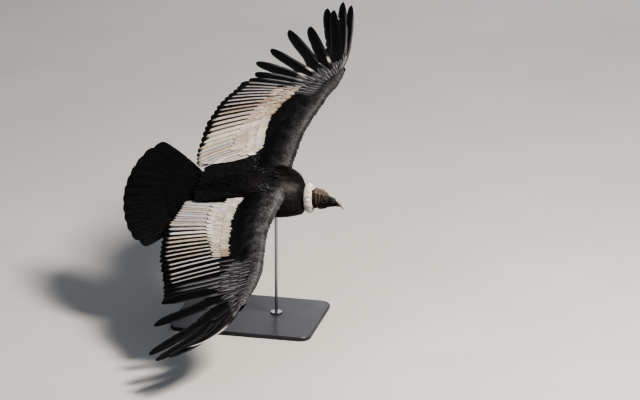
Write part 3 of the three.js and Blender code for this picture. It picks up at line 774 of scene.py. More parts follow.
@dataclass
class Feathering:
    """Lays vanes on a surface and piles them up. The seed is for the wear of their edges."""

    surface: Surface
    seed: int
    patch: float = 0.003

    def __post_init__(self) -> None:
        """Start the draws of wear."""
        self.draw = np.random.default_rng(self.seed)

    def web(self, plumes: Plumes, v: Array, width: Array | float, inner: bool) -> Array:
        """Width of one web along each feather, narrow at the quill and full in the middle.

        Args:
            plumes: the feathers.
            v: shares along them.
            width: full width.
            inner: which web.
        Returns:
            (feathers, rows) widths in mm.
        """
        finger = plumes.column(plumes.finger) * (0.2 if inner else 0.24)
        body = 0.45 + 0.55 * smooth(v, 0, 0.2)
        return plumes.column(width) * body * (1 - finger * smooth(v, 0.36, 0.56))

    def lay(self, pile: Pile, plumes: Plumes, section: Section, paint: Paint, sheet: bool = False) -> None:
        """Add the feathers to a pile.

        Args:
            pile: what they are added to.
            plumes: where and how large they are.
            section: how each is split.
            paint: gives colours from shares along and across and from whether a point is on top.
            sheet: whether each has a strip of the baked map to itself, in place of a small patch.
        """
        count = len(plumes.x)
        a, b = section.ring()
        v = (1 - (1 - np.linspace(0, 1, section.rows + 1)) ** 1.2)[None]
        length = plumes.column(plumes.length)
        angle = np.radians(plumes.column(plumes.angle))
        bow = plumes.column(plumes.bow)
        way = (-np.cos(angle), np.sin(angle))
        sag = 4 * bow * v * (1 - v)
        slope = 4 * bow * (1 - 2 * v) / length
        side = (way[1] - slope * way[0], -way[0] - slope * way[1])
        ends = np.sqrt(np.maximum(1 - v**plumes.blunt, section.tip))
        sides = ((plumes.outer, False), (plumes.inner, True))
        webs = [self.web(plumes, v, width, inner) * ends for width, inner in sides]
        if plumes.wear:
            webs = [web * (1 - self.worn(web.shape) * plumes.wear) for web in webs]
        across = np.where(a > 0, webs[0][..., None], webs[1][..., None]) * a
        dx = (way[0] * v * length + way[1] * sag)[..., None] + side[0][..., None] * across
        ds = (way[1] * v * length - way[0] * sag)[..., None] + side[1][..., None] * across
        level = lerp(
            plumes.column(plumes.root_height), plumes.column(plumes.tip_height),
            smooth(v, 0, 0.75) * 0.7 + v * 0.3,
        )
        level = level + plumes.column(plumes.lift) * np.maximum((v - 0.12) / 0.88, 0) ** 1.6
        x, s = plumes.x[:, None, None], plumes.s[:, None, None]
        height = level[..., None] + section.tilt * across
        height = height - section.hollow * np.abs(across) ** 1.5 / 4
        taper = (1 - 0.75 * v**2)[..., None]
        height = height + b * section.thickness / 2 * taper
        if plumes.flesh is not None:
            height = height + self.surface.flesh(x + dx, s + ds, plumes.flesh)
        points = self.surface.place(x, s, dx, ds, height).reshape(count, -1, 3)
        shares = np.broadcast_to(v[..., None], across.shape)
        tones = paint(shares, np.broadcast_to(a, across.shape), np.broadcast_to(b >= 0, across.shape))
        along = shares * length[..., None]
        vanes = np.stack([across, along], -1).reshape(count, -1, 2) * MM
        rows, ring = section.rows + 1, len(a)
        corners = ring_corners(rows, ring)
        if sheet:
            origin = np.stack([(np.arange(count) + 0.06) / count, np.full(count, 0.01)], -1)
            bakes = origin[:, None, None] + corners * (0.88 / count, 0.98)
        else:
            origin = np.clip(self.surface.patch(plumes.x, plumes.s), 0.004, 0.992)
            bakes = origin[:, None, None] + corners * self.patch
        pile.add(points, ring_quads(rows, ring), tones.reshape(count, -1, 3), vanes, bakes)

    def worn(self, shape: tuple[int, ...]) -> Array:
        """Small splits in the edge of a web, as a share of its width."""
        notch = self.draw.random(shape) < 0.03
        return notch * self.draw.uniform(0.08, 0.24, shape) + self.draw.uniform(0, 0.03, shape)


def quill(surface: Surface, pile: Pile, plumes: Plumes, radius: float, tone: Array) -> None:
    """Add the raised shafts of large feathers, as slim tapered rods along their middle lines.

    Args:
        surface: what the feathers grow from.
        pile: what the shafts are added to.
        plumes: the feathers.
        radius: a shaft's radius at its root, in mm.
        tone: their colour.
    """
    rod = Section(rows=18, across=(-1, 0, 1), thickness=2 * radius, tilt=0.0, tip=0.02)
    slim = replace(
        plumes, length=np.asarray(plumes.length) * 0.97, outer=radius * 1.6, inner=radius * 1.6, wear=0.0,
        finger=0.0, root_height=plumes.root_height + 0.15, tip_height=plumes.tip_height + 0.15,
    )
    Feathering(surface, 0).lay(pile, slim, rod, lambda v, a, top: np.broadcast_to(tone, (*v.shape, 3)))


def per(values: Array, ndim: int = 3) -> Array:
    """One value for each feather, shaped to go with its points."""
    return np.asarray(values, float).reshape(-1, *([1] * (ndim - 1)))


def node(
    tree: Tree, kind: str, inputs: dict | None = None, output: int | str = 0,
    stops: Iterable[tuple[float, str]] = (), **settings: object,
) -> Socket:
    """Add a shader node.

    Args:
        tree: the material's node tree.
        kind: the node's type without its ShaderNode prefix.
        inputs: values for its inputs, or other nodes' outputs to link to them, by name or number.
        output: the name or number of the output that is wanted.
        stops: places and sRGB hex colours of its colour ramp, in rising order.
        settings: its other properties.
    Returns:
        That output.
    """
    made = tree.nodes.new("ShaderNode" + kind)
    for key, value in settings.items():
        setattr(made, key, value)
    for key, value in (inputs or {}).items():
        if isinstance(value, Socket):
            tree.links.new(value, made.inputs[key])
        else:
            made.inputs[key].default_value = value
    for i, (place, code) in enumerate(stops):
        band = made.color_ramp.elements
        element = band[i] if i < len(band) else band.new(place)
        element.position, element.color = place, rgba(code)
    return made.outputs[output]


@dataclass(frozen=True)
class Finish:
    """A surface: the common name of what it is, and the values of its shader that are alike all over."""

    name: str
    roughness: float
    ior: float = 1.5
    metallic: float = 0.0
    sheen: float = 0.0
    coat: float = 0.0
    shine: float = 0.5

    def build(self) -> Material:
        """Make the material.

        Returns:
            The material, its shader set and its pattern linked.
        """
        material = bpy.data.materials.new(self.name)
        material.use_nodes = True
        tree = material.node_tree
        shader = tree.nodes["Principled BSDF"].inputs
        values = {"Roughness": self.roughness, "Metallic": self.metallic, "Sheen Weight": self.sheen}
        values |= {"Coat Weight": self.coat, "Specular IOR Level": self.shine}
        if not self.metallic:
            values["IOR"] = self.ior
        for key, value in values.items():
            shader[key].default_value = value
        for key, socket in self.pattern(tree).items():
            tree.links.new(socket, shader[key])
        return material

    def pattern(self, tree: Tree) -> dict[str, Socket]:
        """Outputs for what varies over the surface, by the shader's input. Here nothing does."""
        return {}

    def toned(self, tree: Tree, shade: Socket) -> Socket:
        """The tone stored on the mesh's points, multiplied by a grey.

        Args:
            tree: the material's node tree.
            shade: the grey's brightness.
        Returns:
            An output for the colour.
        """
        tone = node(tree, "VertexColor", layer_name="Tone")
        grey = node(tree, "CombineColor", {0: shade, 1: shade, 2: shade})
        return node(tree, "Mix", {0: 1.0, 6: tone, 7: grey}, 2, data_type="RGBA", blend_type="MULTIPLY")


@dataclass(frozen=True)
class Vane(Finish):
    """Feather keratin, grown as hooked barbs.

    The hooked barbs give a satin face with fine slanting lines, and wear gives it a dusty bloom in patches.
    """

    barb: float = 2.6 * MM  # real barbs lie about 0.5 mm apart, too fine to show
    relief: float = 0.3

    def pattern(self, tree: Tree) -> dict[str, Socket]:
        """Barbs that slant away from the quill, and dust, over each point's tone.

        Args:
            tree: the material's node tree.
        Returns:
            Outputs for colour, roughness and normal.
        """
        across = node(tree, "SeparateXYZ", {0: node(tree, "UVMap", uv_map="Vane")})
        off = node(tree, "Math", {0: across}, operation="ABSOLUTE")
        slant = node(tree, "Math", {0: off, 1: -1.3, 2: across.node.outputs[1]}, operation="MULTIPLY_ADD")
        grain = node(tree, "TexCoord", output="Object")
        patch = node(tree, "TexNoise", {"Vector": grain, "Scale": 1 / (35 * MM), "Detail": 3.0})
        bent = node(tree, "Math", {0: patch, 1: 4 * MM, 2: slant}, operation="MULTIPLY_ADD")
        phase = node(tree, "Math", {0: bent, 1: 2 * math.pi / self.barb}, operation="MULTIPLY")
        wave = node(tree, "Math", {0: phase}, operation="SINE")
        streak = node(tree, "Math", {0: wave, 1: 0.06, 2: 0.97}, operation="MULTIPLY_ADD")
        dust = node(tree, "Math", {0: patch, 1: 0.5, 2: 0.75}, operation="MULTIPLY_ADD")
        shade = node(tree, "Math", {0: streak, 1: dust}, operation="MULTIPLY")
        rough = {0: patch, 1: 0.3, 2: self.roughness - 0.15}
        return {
            "Base Color": self.toned(tree, shade),
            "Roughness": node(tree, "Math", rough, operation="MULTIPLY_ADD"),
            "Normal": node(tree, "Bump", {"Strength": self.relief, "Distance": 0.4 * MM, "Height": wave}),
        }


@dataclass(frozen=True)
class Down(Finish):
    """White down, grown as loose barbs with no hooks: matt, with soft light between its threads."""

    def pattern(self, tree: Tree) -> dict[str, Socket]:
        """Small tufts of light and shade over each point's tone.

        Args:
            tree: the material's node tree.
        Returns:
            Outputs for colour and normal.
        """
        grain = node(tree, "TexCoord", output="Object")
        tufts = node(tree, "TexNoise", {"Vector": grain, "Scale": 1 / (9 * MM), "Detail": 4.0})
        shade = node(tree, "Math", {0: tufts, 1: 0.35, 2: 0.82}, operation="MULTIPLY_ADD")
        return {
            "Base Color": self.toned(tree, shade),
            "Normal": node(tree, "Bump", {"Strength": 0.3, "Distance": 1 * MM, "Height": tufts}),
        }


@dataclass(frozen=True)
class Hide(Finish):
    """Bare skin or horn, grown in fine cells: mottled, with creases between small raised pads."""

    cell: float = 3.0 * MM
    crease: float = 0.5

    def pattern(self, tree: Tree) -> dict[str, Socket]:
        """Mottled cells with painted shade in their creases, over each point's tone.

        Args:
            tree: the material's node tree.
        Returns:
            Outputs for colour, roughness and normal.
        """
        grain = node(tree, "TexCoord", output="Object")
        fine = node(tree, "TexNoise", {"Vector": grain, "Scale": 0.4 / self.cell, "Detail": 5.0})
        size = {"Vector": grain, "Scale": 1 / self.cell}
        cells = node(tree, "TexVoronoi", size, "Distance", feature="DISTANCE_TO_EDGE")
        edge = node(tree, "Math", {0: cells, 1: 3.0}, operation="MULTIPLY")
        pads = node(tree, "Math", {0: edge, 1: 1.0}, operation="MINIMUM")
        mottle = node(tree, "Math", {0: fine, 1: 0.7, 2: 0.65}, operation="MULTIPLY_ADD")
        # Painted shade: the creases between the pads are a quarter darker
        crease_shade = node(tree, "Math", {0: pads, 1: 0.25, 2: 0.75}, operation="MULTIPLY_ADD")
        shade = node(tree, "Math", {0: mottle, 1: crease_shade}, operation="MULTIPLY")
        height = node(tree, "Math", {0: pads, 1: fine}, operation="ADD")
        rough = {0: fine, 1: 0.3, 2: self.roughness - 0.15}
        return {
            "Base Color": self.toned(tree, shade),
            "Roughness": node(tree, "Math", rough, operation="MULTIPLY_ADD"),
            "Normal": node(tree, "Bump", {"Strength": self.crease, "Distance": 0.5 * MM, "Height": height}),
        }


@dataclass(frozen=True)
class WetEye(Finish):
    """A living eye under a wet clear cornea: brown iris threads round a black pupil."""

    def pattern(self, tree: Tree) -> dict[str, Socket]:
        """Pupil, iris and white, by the angle from the eye's axis that its UV map holds.

        Args:
            tree: the material's node tree.
        Returns:
            The output for colour.
        """
        place = node(tree, "UVMap", uv_map="Iris")
        turn = node(tree, "SeparateXYZ", {0: place})
        threads = node(tree, "TexNoise", {"Vector": place, "Scale": 40.0})
        angle = node(tree, "Math", {0: turn.node.outputs[1], 1: 0.025}, operation="SUBTRACT")
        wavy = node(tree, "Math", {0: threads, 1: 0.05, 2: angle}, operation="MULTIPLY_ADD")
        pupil = ((0.0, "#050405"), (0.16, "#050405"))
        iris = (
            (0.19, "#4a3320"), (0.28, "#6a4c2c"), (0.34, "#2b1c10"), (0.42, "#14100e"), (1.0, "#2a211d")
        )
        return {"Base Color": node(tree, "ValToRGB", {0: wavy}, stops=pupil + iris)}


@dataclass(frozen=True)
class SprayedPaint(Finish):
    """Sprayed satin paint on fibreboard: charcoal with a faint orange peel and a little dust."""

    base: str = "#2c2d30"
    dust: str = "#45464a"

    def pattern(self, tree: Tree) -> dict[str, Socket]:
        """Dust in wide clouds, and the peel that the spray leaves.

        Args:
            tree: the material's node tree.
        Returns:
            Outputs for colour, roughness and normal.
        """
        grain = node(tree, "TexCoord", output="Object")
        peel = node(tree, "TexNoise", {"Vector": grain, "Scale": 1 / (2.5 * MM), "Detail": 2.0})
        cloud = node(tree, "TexNoise", {"Vector": grain, "Scale": 1 / (120 * MM), "Detail": 5.0})
        rough = {0: cloud, 1: 0.25, 2: self.roughness - 0.12}
        return {
            "Base Color": node(tree, "ValToRGB", {0: cloud}, stops=((0.35, self.base), (0.75, self.dust))),
            "Roughness": node(tree, "Math", rough, operation="MULTIPLY_ADD"),
            "Normal": node(tree, "Bump", {"Strength": 0.25, "Distance": 0.1 * MM, "Height": peel}),
        }


@dataclass(frozen=True)
class BrushedSteel(Finish):
    """Stainless steel rod, brushed round its length: grey metal with fine rings that spread its shine."""

    base: str = "#b9babc"
    dark: str = "#8f9194"

    def pattern(self, tree: Tree) -> dict[str, Socket]:
        """The brush's rings round the rod.

        Args:
            tree: the material's node tree.
        Returns:
            Outputs for colour, roughness and normal.
        """
        whole = node(tree, "TexCoord", output="Object")
        grain = node(tree, "Mapping", {0: whole, "Scale": (30, 30, 900)})
        line = node(tree, "TexNoise", {"Vector": grain, "Scale": 1.0, "Detail": 4.0})
        rough = {0: line, 1: 0.25, 2: self.roughness - 0.1}
        return {
            "Base Color": node(tree, "ValToRGB", {0: line}, stops=((0.3, self.dark), (0.7, self.base))),
            "Roughness": node(tree, "Math", rough, operation="MULTIPLY_ADD"),
            "Normal": node(tree, "Bump", {"Strength": 0.2, "Distance": 0.05 * MM, "Height": line}),
        }


@dataclass(frozen=True)
class StudioPaper(Finish):
    """Matt paper of a studio's floor, light grey with faint clouds."""

    def pattern(self, tree: Tree) -> dict[str, Socket]:
        """Two near greys in wide clouds.

        Args:
            tree: the material's node tree.
        Returns:
            The output for colour.
        """
        grain = node(tree, "TexCoord", output="Object")
        cloud = node(tree, "TexNoise", {"Vector": grain, "Scale": 1.5, "Detail": 3.0})
        return {
            "Base Color": node(tree, "ValToRGB", {0: cloud}, stops=((0.3, "#c6c6c4"), (0.7, "#cbcbc9")))
        }


VANE = Vane("Feather keratin, hooked barbs", roughness=0.46, ior=1.55, shine=0.3)
SOFT_VANE = Vane(
    "Body feather, loose barbs", roughness=0.55, ior=1.55, shine=0.25, barb=2.4 * MM, relief=0.15
)
WHITE_DOWN = Down("White down, loose barbs", roughness=0.9, ior=1.45, sheen=0.3)
BARE_SKIN = Hide("Bare skin, wrinkled", roughness=0.58, ior=1.42, cell=1.7 * MM, crease=0.5, shine=0.35)
BILL_HORN = Hide("Bill horn, worn smooth", roughness=0.34, ior=1.55, coat=0.15, cell=6 * MM, crease=0.12)
CLAW_HORN = Hide("Claw horn, blunt", roughness=0.38, ior=1.55, coat=0.1, cell=5 * MM, crease=0.15)
LEG_SCALES = Hide("Leg skin, scaled", roughness=0.55, ior=1.5, cell=3.4 * MM, crease=0.9)
EYE = WetEye("Eye, wet cornea", roughness=0.05, ior=1.376, coat=1.0)
STAND_PAINT = SprayedPaint("Satin paint on fibreboard", roughness=0.42)
STAND_STEEL = BrushedSteel("Stainless steel, brushed", roughness=0.3, metallic=1.0)
PAPER = StudioPaper("Studio paper, matt", roughness=0.9)


@dataclass
class WingPlumage:
    """One wing's flight feathers and coverts, with the widths of its primaries' webs."""

    pose: WingPose
    quills: int = 18
    outer_webs: tuple[float, ...] = (22, 22, 23, 23, 23, 23, 22, 21, 19, 16)
    inner_webs: tuple[float, ...] = (48, 50, 54, 58, 60, 60, 58, 56, 52, 44)

    def __post_init__(self) -> None:
        """Lay out the lines of quills and tips."""
        pose = self.pose
        self.wing = Wing(pose)
        self.draw = np.random.default_rng(31 if pose.side is Side.LEFT else 47)
        self.u = np.linspace(0, 1, self.quills)
        self.tip_s = pose.tip_places(self.u) + self.jitter(self.quills, 2)
        self.tip_x = pose.tip_line(self.tip_s) + self.jitter(self.quills, 4)
        self.root_x, self.root_s = self.quill_line(pose.root_shares(self.tip_s))
        self.angles = np.degrees(np.arctan2(self.tip_s - self.root_s, self.root_x - self.tip_x))
        self.hand_x, self.hand_s = lerp(
            self.wing.wrist[:, None], self.wing.end[:, None], (np.arange(10) + 0.4) / 9.6
        )

    def jitter(self, count: int, size: float) -> Array:
        """Small seeded changes, one for each feather."""
        return self.draw.uniform(-size, size, count)

    def quill_line(self, share: Array) -> tuple[Array, Array]:
        """Where the secondaries grow: from the wrist to the elbow and on inwards.

        Args:
            share: 0 at the wrist and 1 at the elbow.
        Returns:
            Their x and s.
        """
        wing, inner = self.wing, np.array(self.pose.inner_root)
        line = np.stack([wing.wrist, wing.elbow, inner])
        places = [0, 1, 1 + np.linalg.norm(inner - wing.elbow) / wing.ulna]
        return np.interp(share, places, line[:, 0]), np.interp(share, places, line[:, 1])

    def secondaries(self, pile: Pile) -> None:
        """Add the secondaries, with white outer webs, and the black tertials between them and the body.

        Args:
            pile: what they are added to.
        """
        u, n = self.u, self.quills
        length = np.hypot(self.tip_x - self.root_x, self.tip_s - self.root_s)
        gap = -np.gradient(self.tip_s)
        plumes = Plumes(
            self.root_x, self.root_s, self.angles, length, 0.58 * gap, np.maximum(1.25 * gap, 46), bow=5.0,
            blunt=26.0, wear=0.8,
        )
        band = self.pose.trailing_band * lerp(0.3, 1, smooth(self.tip_s, 120, 270)) + self.jitter(n, 5)
        band = per(band) / per(length)
        tints = mixed(
            SILVER, self.panel_tints(self.tip_s), smooth(self.pose.stripe_white(self.tip_s), 0.4, 0.9)
        )
        tints = mixed(tints, PEARL, 0.75 * smooth(self.tip_s, 420, 520))[:, None, None]
        inner = per(smooth(u, self.pose.inner_white - 0.06, self.pose.inner_white + 0.08))
        reach = per(lerp(0.48, 0.97, smooth(u, 0.2, 0.75)))
        strength = per(self.pose.stripe_white(self.tip_s))

        def paint(v: Array, a: Array, top: Array) -> Array:
            """Colours of the points."""
            white = smooth(1 - band - 0.035 * (2 * np.abs(a) / reach - 1) ** 4 - v, -0.008, 0.008)
            outer = smooth(a, -0.03, 0.03) * (1 - smooth(a, reach, reach + 0.1) * (1 - inner))
            share = white * np.maximum(outer, inner * smooth(a, -0.97, -0.6)) * strength
            return np.where(top[..., None], mixed(INK, tints, share), mixed(INK, PEWTER, 0.4 * share))

        lay = Feathering(self.wing, 3)
        lay.lay(pile, plumes, FINE, paint, sheet=True)
        quill(self.wing, pile, plumes, 1.2, EARTH)
        self.humerals(pile, lay)
        places, lengths = np.array(self.pose.tertials, float).T
        tertials = Plumes(
            np.full(len(places), self.pose.inner_root[0] + 14.0), places,
            self.angles[-1] * 0.3 + self.jitter(len(places), 1.5), lengths, 26.0, 34.0, root_height=5.0,
            tip_height=2.0, blunt=7.0, wear=1.0,
        )
        lay.lay(pile, tertials, FINE, self.plain(INK, EARTH, 0.5), sheet=True)
        quill(self.wing, pile, tertials, 1.2, INK)

    def humerals(self, pile: Pile, lay: Feathering) -> None:
        """Add the shorter white feathers that carry the panel on past the elbow.

        Args:
            pile: what they are added to.
            lay: lays them, with its own draws of wear.
        """
        if not self.pose.humerals:
            return
        root_x, root_s, tip_x, tip_s = np.array(self.pose.humerals, float).T
        plumes = Plumes(
            root_x, root_s, np.degrees(np.arctan2(tip_s - root_s, root_x - tip_x)),
            np.hypot(tip_x - root_x, tip_s - root_s), 24.0, 34.0, root_height=2.0, tip_height=1.0,
            blunt=9.0, wear=0.8,
        )
        tints = self.panel_tints(tip_s)[:, None, None]

        def paint(v: Array, a: Array, top: Array) -> Array:
            """Colours of the points."""
            share = (1 - 0.8 * smooth(np.abs(a), 0.93, 1.0)) * np.where(top, 1, 0.3)
            return mixed(INK, tints, share)

        lay.lay(pile, plumes, BROAD, paint)
        quill(self.wing, pile, plumes, 1.0, TAN)

    def panel_tints(self, s: Array) -> Array:
        """The white panel's colours: chalk near the body, with cream, tan and pearl feathers further out.

        Args:
            s: where the feathers are.
        Returns:
            (feathers, 3) linear colours.
        """
        tan = np.clip(smooth(s, 200, 520) * 0.6 + self.jitter(len(s), 0.35), 0, 0.9)
        base = mixed(CHALK, CREAM, self.draw.uniform(0, 1, len(s)))
        base = mixed(base, PEARL, self.draw.uniform(0, 1, len(s)) ** 2 * 0.9)
        return mixed(base, TAN, tan)

    def plain(self, base: Array, edge: Array, strength: float, tip: float = 0.0) -> Paint:
        """Dark feathers whose margins are paler.

        Args:
            base: their colour.
            edge: the margins' colour.
            strength: its share.
            tip: share at the tip.
        Returns:
            Their paint.
        """

        def paint(v: Array, a: Array, top: Array) -> Array:
            """Colours of the points."""
            rim = np.maximum(np.abs(a) ** 4 * smooth(v, 0.1, 0.5), smooth(v, 0.86, 1) * tip)
            return mixed(base, edge, strength * rim * top)

        return paint

    def primaries(self, pile: Pile) -> None:
        """Add the ten primaries, whose tips part into fingers and bend up.

        Args:
            pile: what they are added to.
        """
        i, pose = np.arange(10), self.pose
        plumes = Plumes(
            self.hand_x, self.hand_s, np.array(pose.primary_angles, float),
            np.array(pose.primary_reach, float),
            np.array(self.outer_webs, float), np.array(self.inner_webs, float),
            lift=np.array(pose.primary_lifts, float), bow=8 + i * 1.2, finger=smooth(i, 1, 3), wear=0.8,
            blunt=8.0,
        )
        rims = (0.75, 0.65, 0.4, 0.1, 0, pose.outer_silver_and_glint, pose.outer_silver_and_glint)
        silver = per(np.interp(i, (0, 1, 3, 5, 7, 8, 9), rims))
        # Painted highlight at the bases of the middle primaries, strongest on the left wing
        base_glint_share = per(np.interp(i, (1, 2, 3, 5, 6, 7), (0.3, 1, 1, 1, 0.4, 0)) * pose.base_glint)
        # Painted reflection with the feathers' own silver: the outermost primaries' outer webs pale towards
        # pearl
        outermost_glint = per(i >= 8) * 0.8 * pose.outer_silver_and_glint

        def paint(v: Array, a: Array, top: Array) -> Array:
            """Colours of the points."""
            rim = smooth(a, 0.3 - 0.5 * outermost_glint, 0.7 - 0.6 * outermost_glint) * silver
            start = 0.02 + 0.3 * outermost_glint
            rim = rim * smooth(v, start, start + 0.18)
            rim = rim * (1 - smooth(v, 0.72 + 0.14 * outermost_glint, 0.9 + 0.07 * outermost_glint))
            rim = np.maximum(rim, 0.1 * smooth(np.abs(a), 0.9, 1.0)) * np.where(top, 1, 0.3)
            # Painted highlight: a chalk patch across the outer web near the base
            base = smooth(a, 0.1, 0.4) * (1 - smooth(a, 0.75, 0.95)) * smooth(v, 0.33, 0.38)
            base = base_glint_share * base * (1 - smooth(v, 0.41, 0.48)) * top * 0.7
            pale = mixed(SILVER, PEARL, outermost_glint)
            return mixed(mixed(INK, pale, rim), CHALK, base)

        Feathering(self.wing, 5).lay(pile, plumes, FINE, paint, sheet=True)
        quill(self.wing, pile, plumes, 1.8, INK)

    def flight(self, finish: Material) -> Object:
        """The wing's flight feathers as one piece.

        Args:
            finish: their material.
        Returns:
            The piece.
        """
        pile = Pile()
        self.secondaries(pile)
        self.primaries(pile)
        return pile.build(f"flight_feathers_{self.pose.side.word}", finish, "plumage")

    def lie(self, s: Array, back: Array | float) -> Array:
        """Turn of the plumage, in degrees, at s and a distance back from the leading edge.

        Args:
            s: distance out.
            back: mm behind the leading edge.
        Returns:
            Degrees out from straight back.
        """
        x = self.wing.lead(s) - back
        roots_x, roots_s = np.append(self.root_x, self.hand_x), np.append(self.root_s, self.hand_s)
        angles = np.append(self.angles, self.pose.primary_angles)
        reach = np.maximum(roots_x[:, None] - x, 0)
        away = roots_s[:, None] + reach * np.tan(np.radians(angles))[:, None] - s
        weight = np.exp(-((away / 24) ** 2) + np.abs(away / 24).min(0) ** 2)
        field = (weight * angles[:, None]).sum(0) / weight.sum(0)
        straight = lerp(0.4, 0.9, smooth(s, self.wing.wrist[1] - 80, self.wing.wrist[1] + 40))
        return field * lerp(straight, 1.0, smooth(back, 20, 200))

    def row(
        self, count: int, start: float, end: float, tips: Callable[[Array], Array], length: float,
        outer: float,
        inner: float,
    ) -> Plumes:
        """A row of upper coverts whose tips lie along a line behind the leading edge.

        Args:
            count: how many.
            start, end: where the row runs.
            tips: mm from leading edge to tip, by s.
            length: a feather's length.
            outer, inner: half widths of its webs.
        Returns:
            The feathers.
        """
        s = np.linspace(start, end, count) + self.jitter(count, (end - start) / count * 0.15)
        long = length * self.draw.uniform(0.93, 1.07, count)
        angle = self.lie(s, tips(s) - 0.5 * long) + self.jitter(count, 2.5)
        turn = np.radians(angle)
        x = self.wing.lead(s) - tips(s) + self.jitter(count, length * 0.04) + long * np.cos(turn)
        s = s - long * np.sin(turn)
        return Plumes(
            np.minimum(x, self.wing.lead(s)), s, angle, long, outer * self.draw.uniform(0.92, 1.1, count),
            inner,
            root_height=-3.2, tip_height=1.6, flesh=True, blunt=5.0, wear=0.6,
        )

    def greater_coverts(self, pile: Pile) -> None:
        """Add one white covert over each secondary's quill.

        Args:
            pile: what they are added to.
        """
        t = np.linspace(0, 1, 240)[:, None]
        x, s = lerp(self.root_x, self.tip_x, t), lerp(self.root_s, self.tip_s, t)
        ahead = self.wing.lead(s) - x - self.pose.covert_tips(s)
        at = np.argmax(ahead > 0, 0)
        pick = np.arange(self.quills)
        tip_x, tip_s = x[at, pick] + self.jitter(len(pick), 5), s[at, pick]
        long = 215 + self.jitter(len(pick), 8)
        angle = np.radians(self.angles)
        gap = -np.gradient(tip_s)
        plumes = Plumes(
            tip_x + long * np.cos(angle), tip_s - long * np.sin(angle),
            self.angles + self.jitter(len(pick), 1.0), long,
            np.maximum(0.66 * gap, 11), np.maximum(1.2 * gap, 24), root_height=-3.2, tip_height=1.4,
            flesh=True,
            blunt=7.0, wear=0.6,
        )
        self.white_row(pile, plumes, 1 - smooth(tip_s, self.pose.white_end - 4, self.pose.white_end + 12))

    def median_coverts(self, pile: Pile) -> None:
        """Add the white row whose tips mostly hide the greater coverts' roots.

        Args:
            pile: what they are added to.
        """
        pose = self.pose
        for count, offset, length, outer, inner, height in (
            (26, 92, 120.0, 14.0, 21.0, 3.0), (32, 44, 96.0, 13.0, 17.0, 4.2)
        ):
            plumes = self.row(
                count, pose.white_start, pose.white_end, lambda s: pose.white_from(s) + offset, length,
                outer, inner,
            )
            plumes.tip_height = height
            faded = 0.8 * smooth(plumes.s, pose.white_end - 90, pose.white_end) * (pose.side is Side.LEFT)
            self.white_row(pile, plumes, 1 - faded)

    def white_row(self, pile: Pile, plumes: Plumes, white: Array) -> None:
        """Add a row of white coverts, darker between their pale webs towards the wrist.

        Args:
            pile: what they are added to.
            plumes: where they are.
            white: 1 for a white feather and 0 for a dark one with a silver outer web.
        """
        count = len(plumes.s)
        white = per(white)
        tints = self.panel_tints(plumes.s * 1.12)[:, None, None]
        dark = per(smooth(plumes.s, self.wing.wrist[1] * 0.72, self.wing.wrist[1]))
        slit = per(self.draw.random(count) < 0.3) * per(self.draw.uniform(0.5, 1, count))

        def paint(v: Array, a: Array, top: Array) -> Array:
            """Colours of the points."""
            gap = slit * smooth(-a, 0.5, 0.8) * smooth(v, 0.45, 0.6)
            share = (1 - 0.93 * np.maximum(dark * smooth(-a, -0.1, 0.25), gap)) * np.where(top, 1, 0.25)
            shaded = tints * lerp(0.72, 1.06, smooth(v, 0.35, 0.9))[..., None]
            edge = 0.55 * smooth(a, 0.25, 0.9) * smooth(v, 0.2, 0.5) * top
            return mixed(mixed(INK, SILVER, edge), mixed(INK, shaded, share), white)

        Feathering(self.wing, 7).lay(pile, plumes, BROAD, paint)
        quill(self.wing, pile, plumes, 0.5, mixed(INK, TAN, white * (1 - 0.7 * dark)))

    def lesser_coverts(self, pile: Pile) -> None:
        """Add the black rows in front of the white, which turn silver-grey at the leading edge: partly their
        own grey, partly painted sheen.

        Args:
            pile: what they are added to.
        """
        wing, pose = self.wing, self.pose
        lay = Feathering(wing, 9)
        steps, end = 21, wing.end[1] + 10
        cloud = Speckle(12, 70)
        for k in range(steps):
            share = (k / (steps - 1)) ** 1.1

            def tips(s: Array, share: float = share) -> Array:
                """Distance of this row's tips from the leading edge."""
                hand = smooth(s, pose.white_end, pose.white_end + 110)
                return lerp(lerp(pose.white_from(s), wing.chord(s) * 0.55, hand), 14.0, share)

            length, width = float(lerp(56, 19, share)), float(lerp(9.6, 4.6, share))
            count = int((end + 60) / (width * 1.15))
            plumes = self.row(count, -50, end, tips, length, width, width)
            plumes.x = np.minimum(
                plumes.x + self.jitter(count, 6), wing.lead(plumes.s) + 2 - 4 * self.draw.random(count)
            )
            plumes.root_height, plumes.tip_height, plumes.blunt = -3.4, 1.4 + self.draw.random(
                count
            ) * 1.6, 2.6
            front = 1 - (tips(plumes.s) - 14) / np.maximum(pose.white_from(plumes.s) - 14, 60)
            front += 0.12 * cloud(np.stack([plumes.x, plumes.s, plumes.s * 0], -1))
            # Painted sheen with the coverts' own grey: silver-grey that rises towards the leading edge
            on_hand = smooth(plumes.s, wing.wrist[1] - 60, wing.wrist[1] + 60)
            grey = smooth(front, lerp(0.12, -0.2, on_hand), 1.2) ** 1.3 * pose.edge_silver_and_sheen
            grey = np.clip(grey * self.draw.uniform(0.55, 1.15, count), 0, 1)
            lay.lay(pile, plumes, SMALL, self.greyed(grey, self.draw.uniform(0.8, 1.2, count)))

    def greyed(self, grey: Array, shade: Array) -> Paint:
        """Dark feathers washed with silver by a share for each, palest along their margins.

        Args:
            grey: share of silver in each, partly painted sheen.
            shade: brightness of each.
        Returns:
            Their paint.
        """

        def paint(v: Array, a: Array, top: Array) -> Array:
            """Colours of the points."""
            rim = np.maximum(np.abs(a) ** 2 * 0.5, smooth(v, 0.55, 0.95))
            share = per(grey) * (0.45 + 0.55 * rim) + 0.03 * rim
            pale = mixed(PEWTER, SILVER, 0.8 * per(grey))
            return mixed(INK, pale, share) * per(shade)[..., None]

        return paint

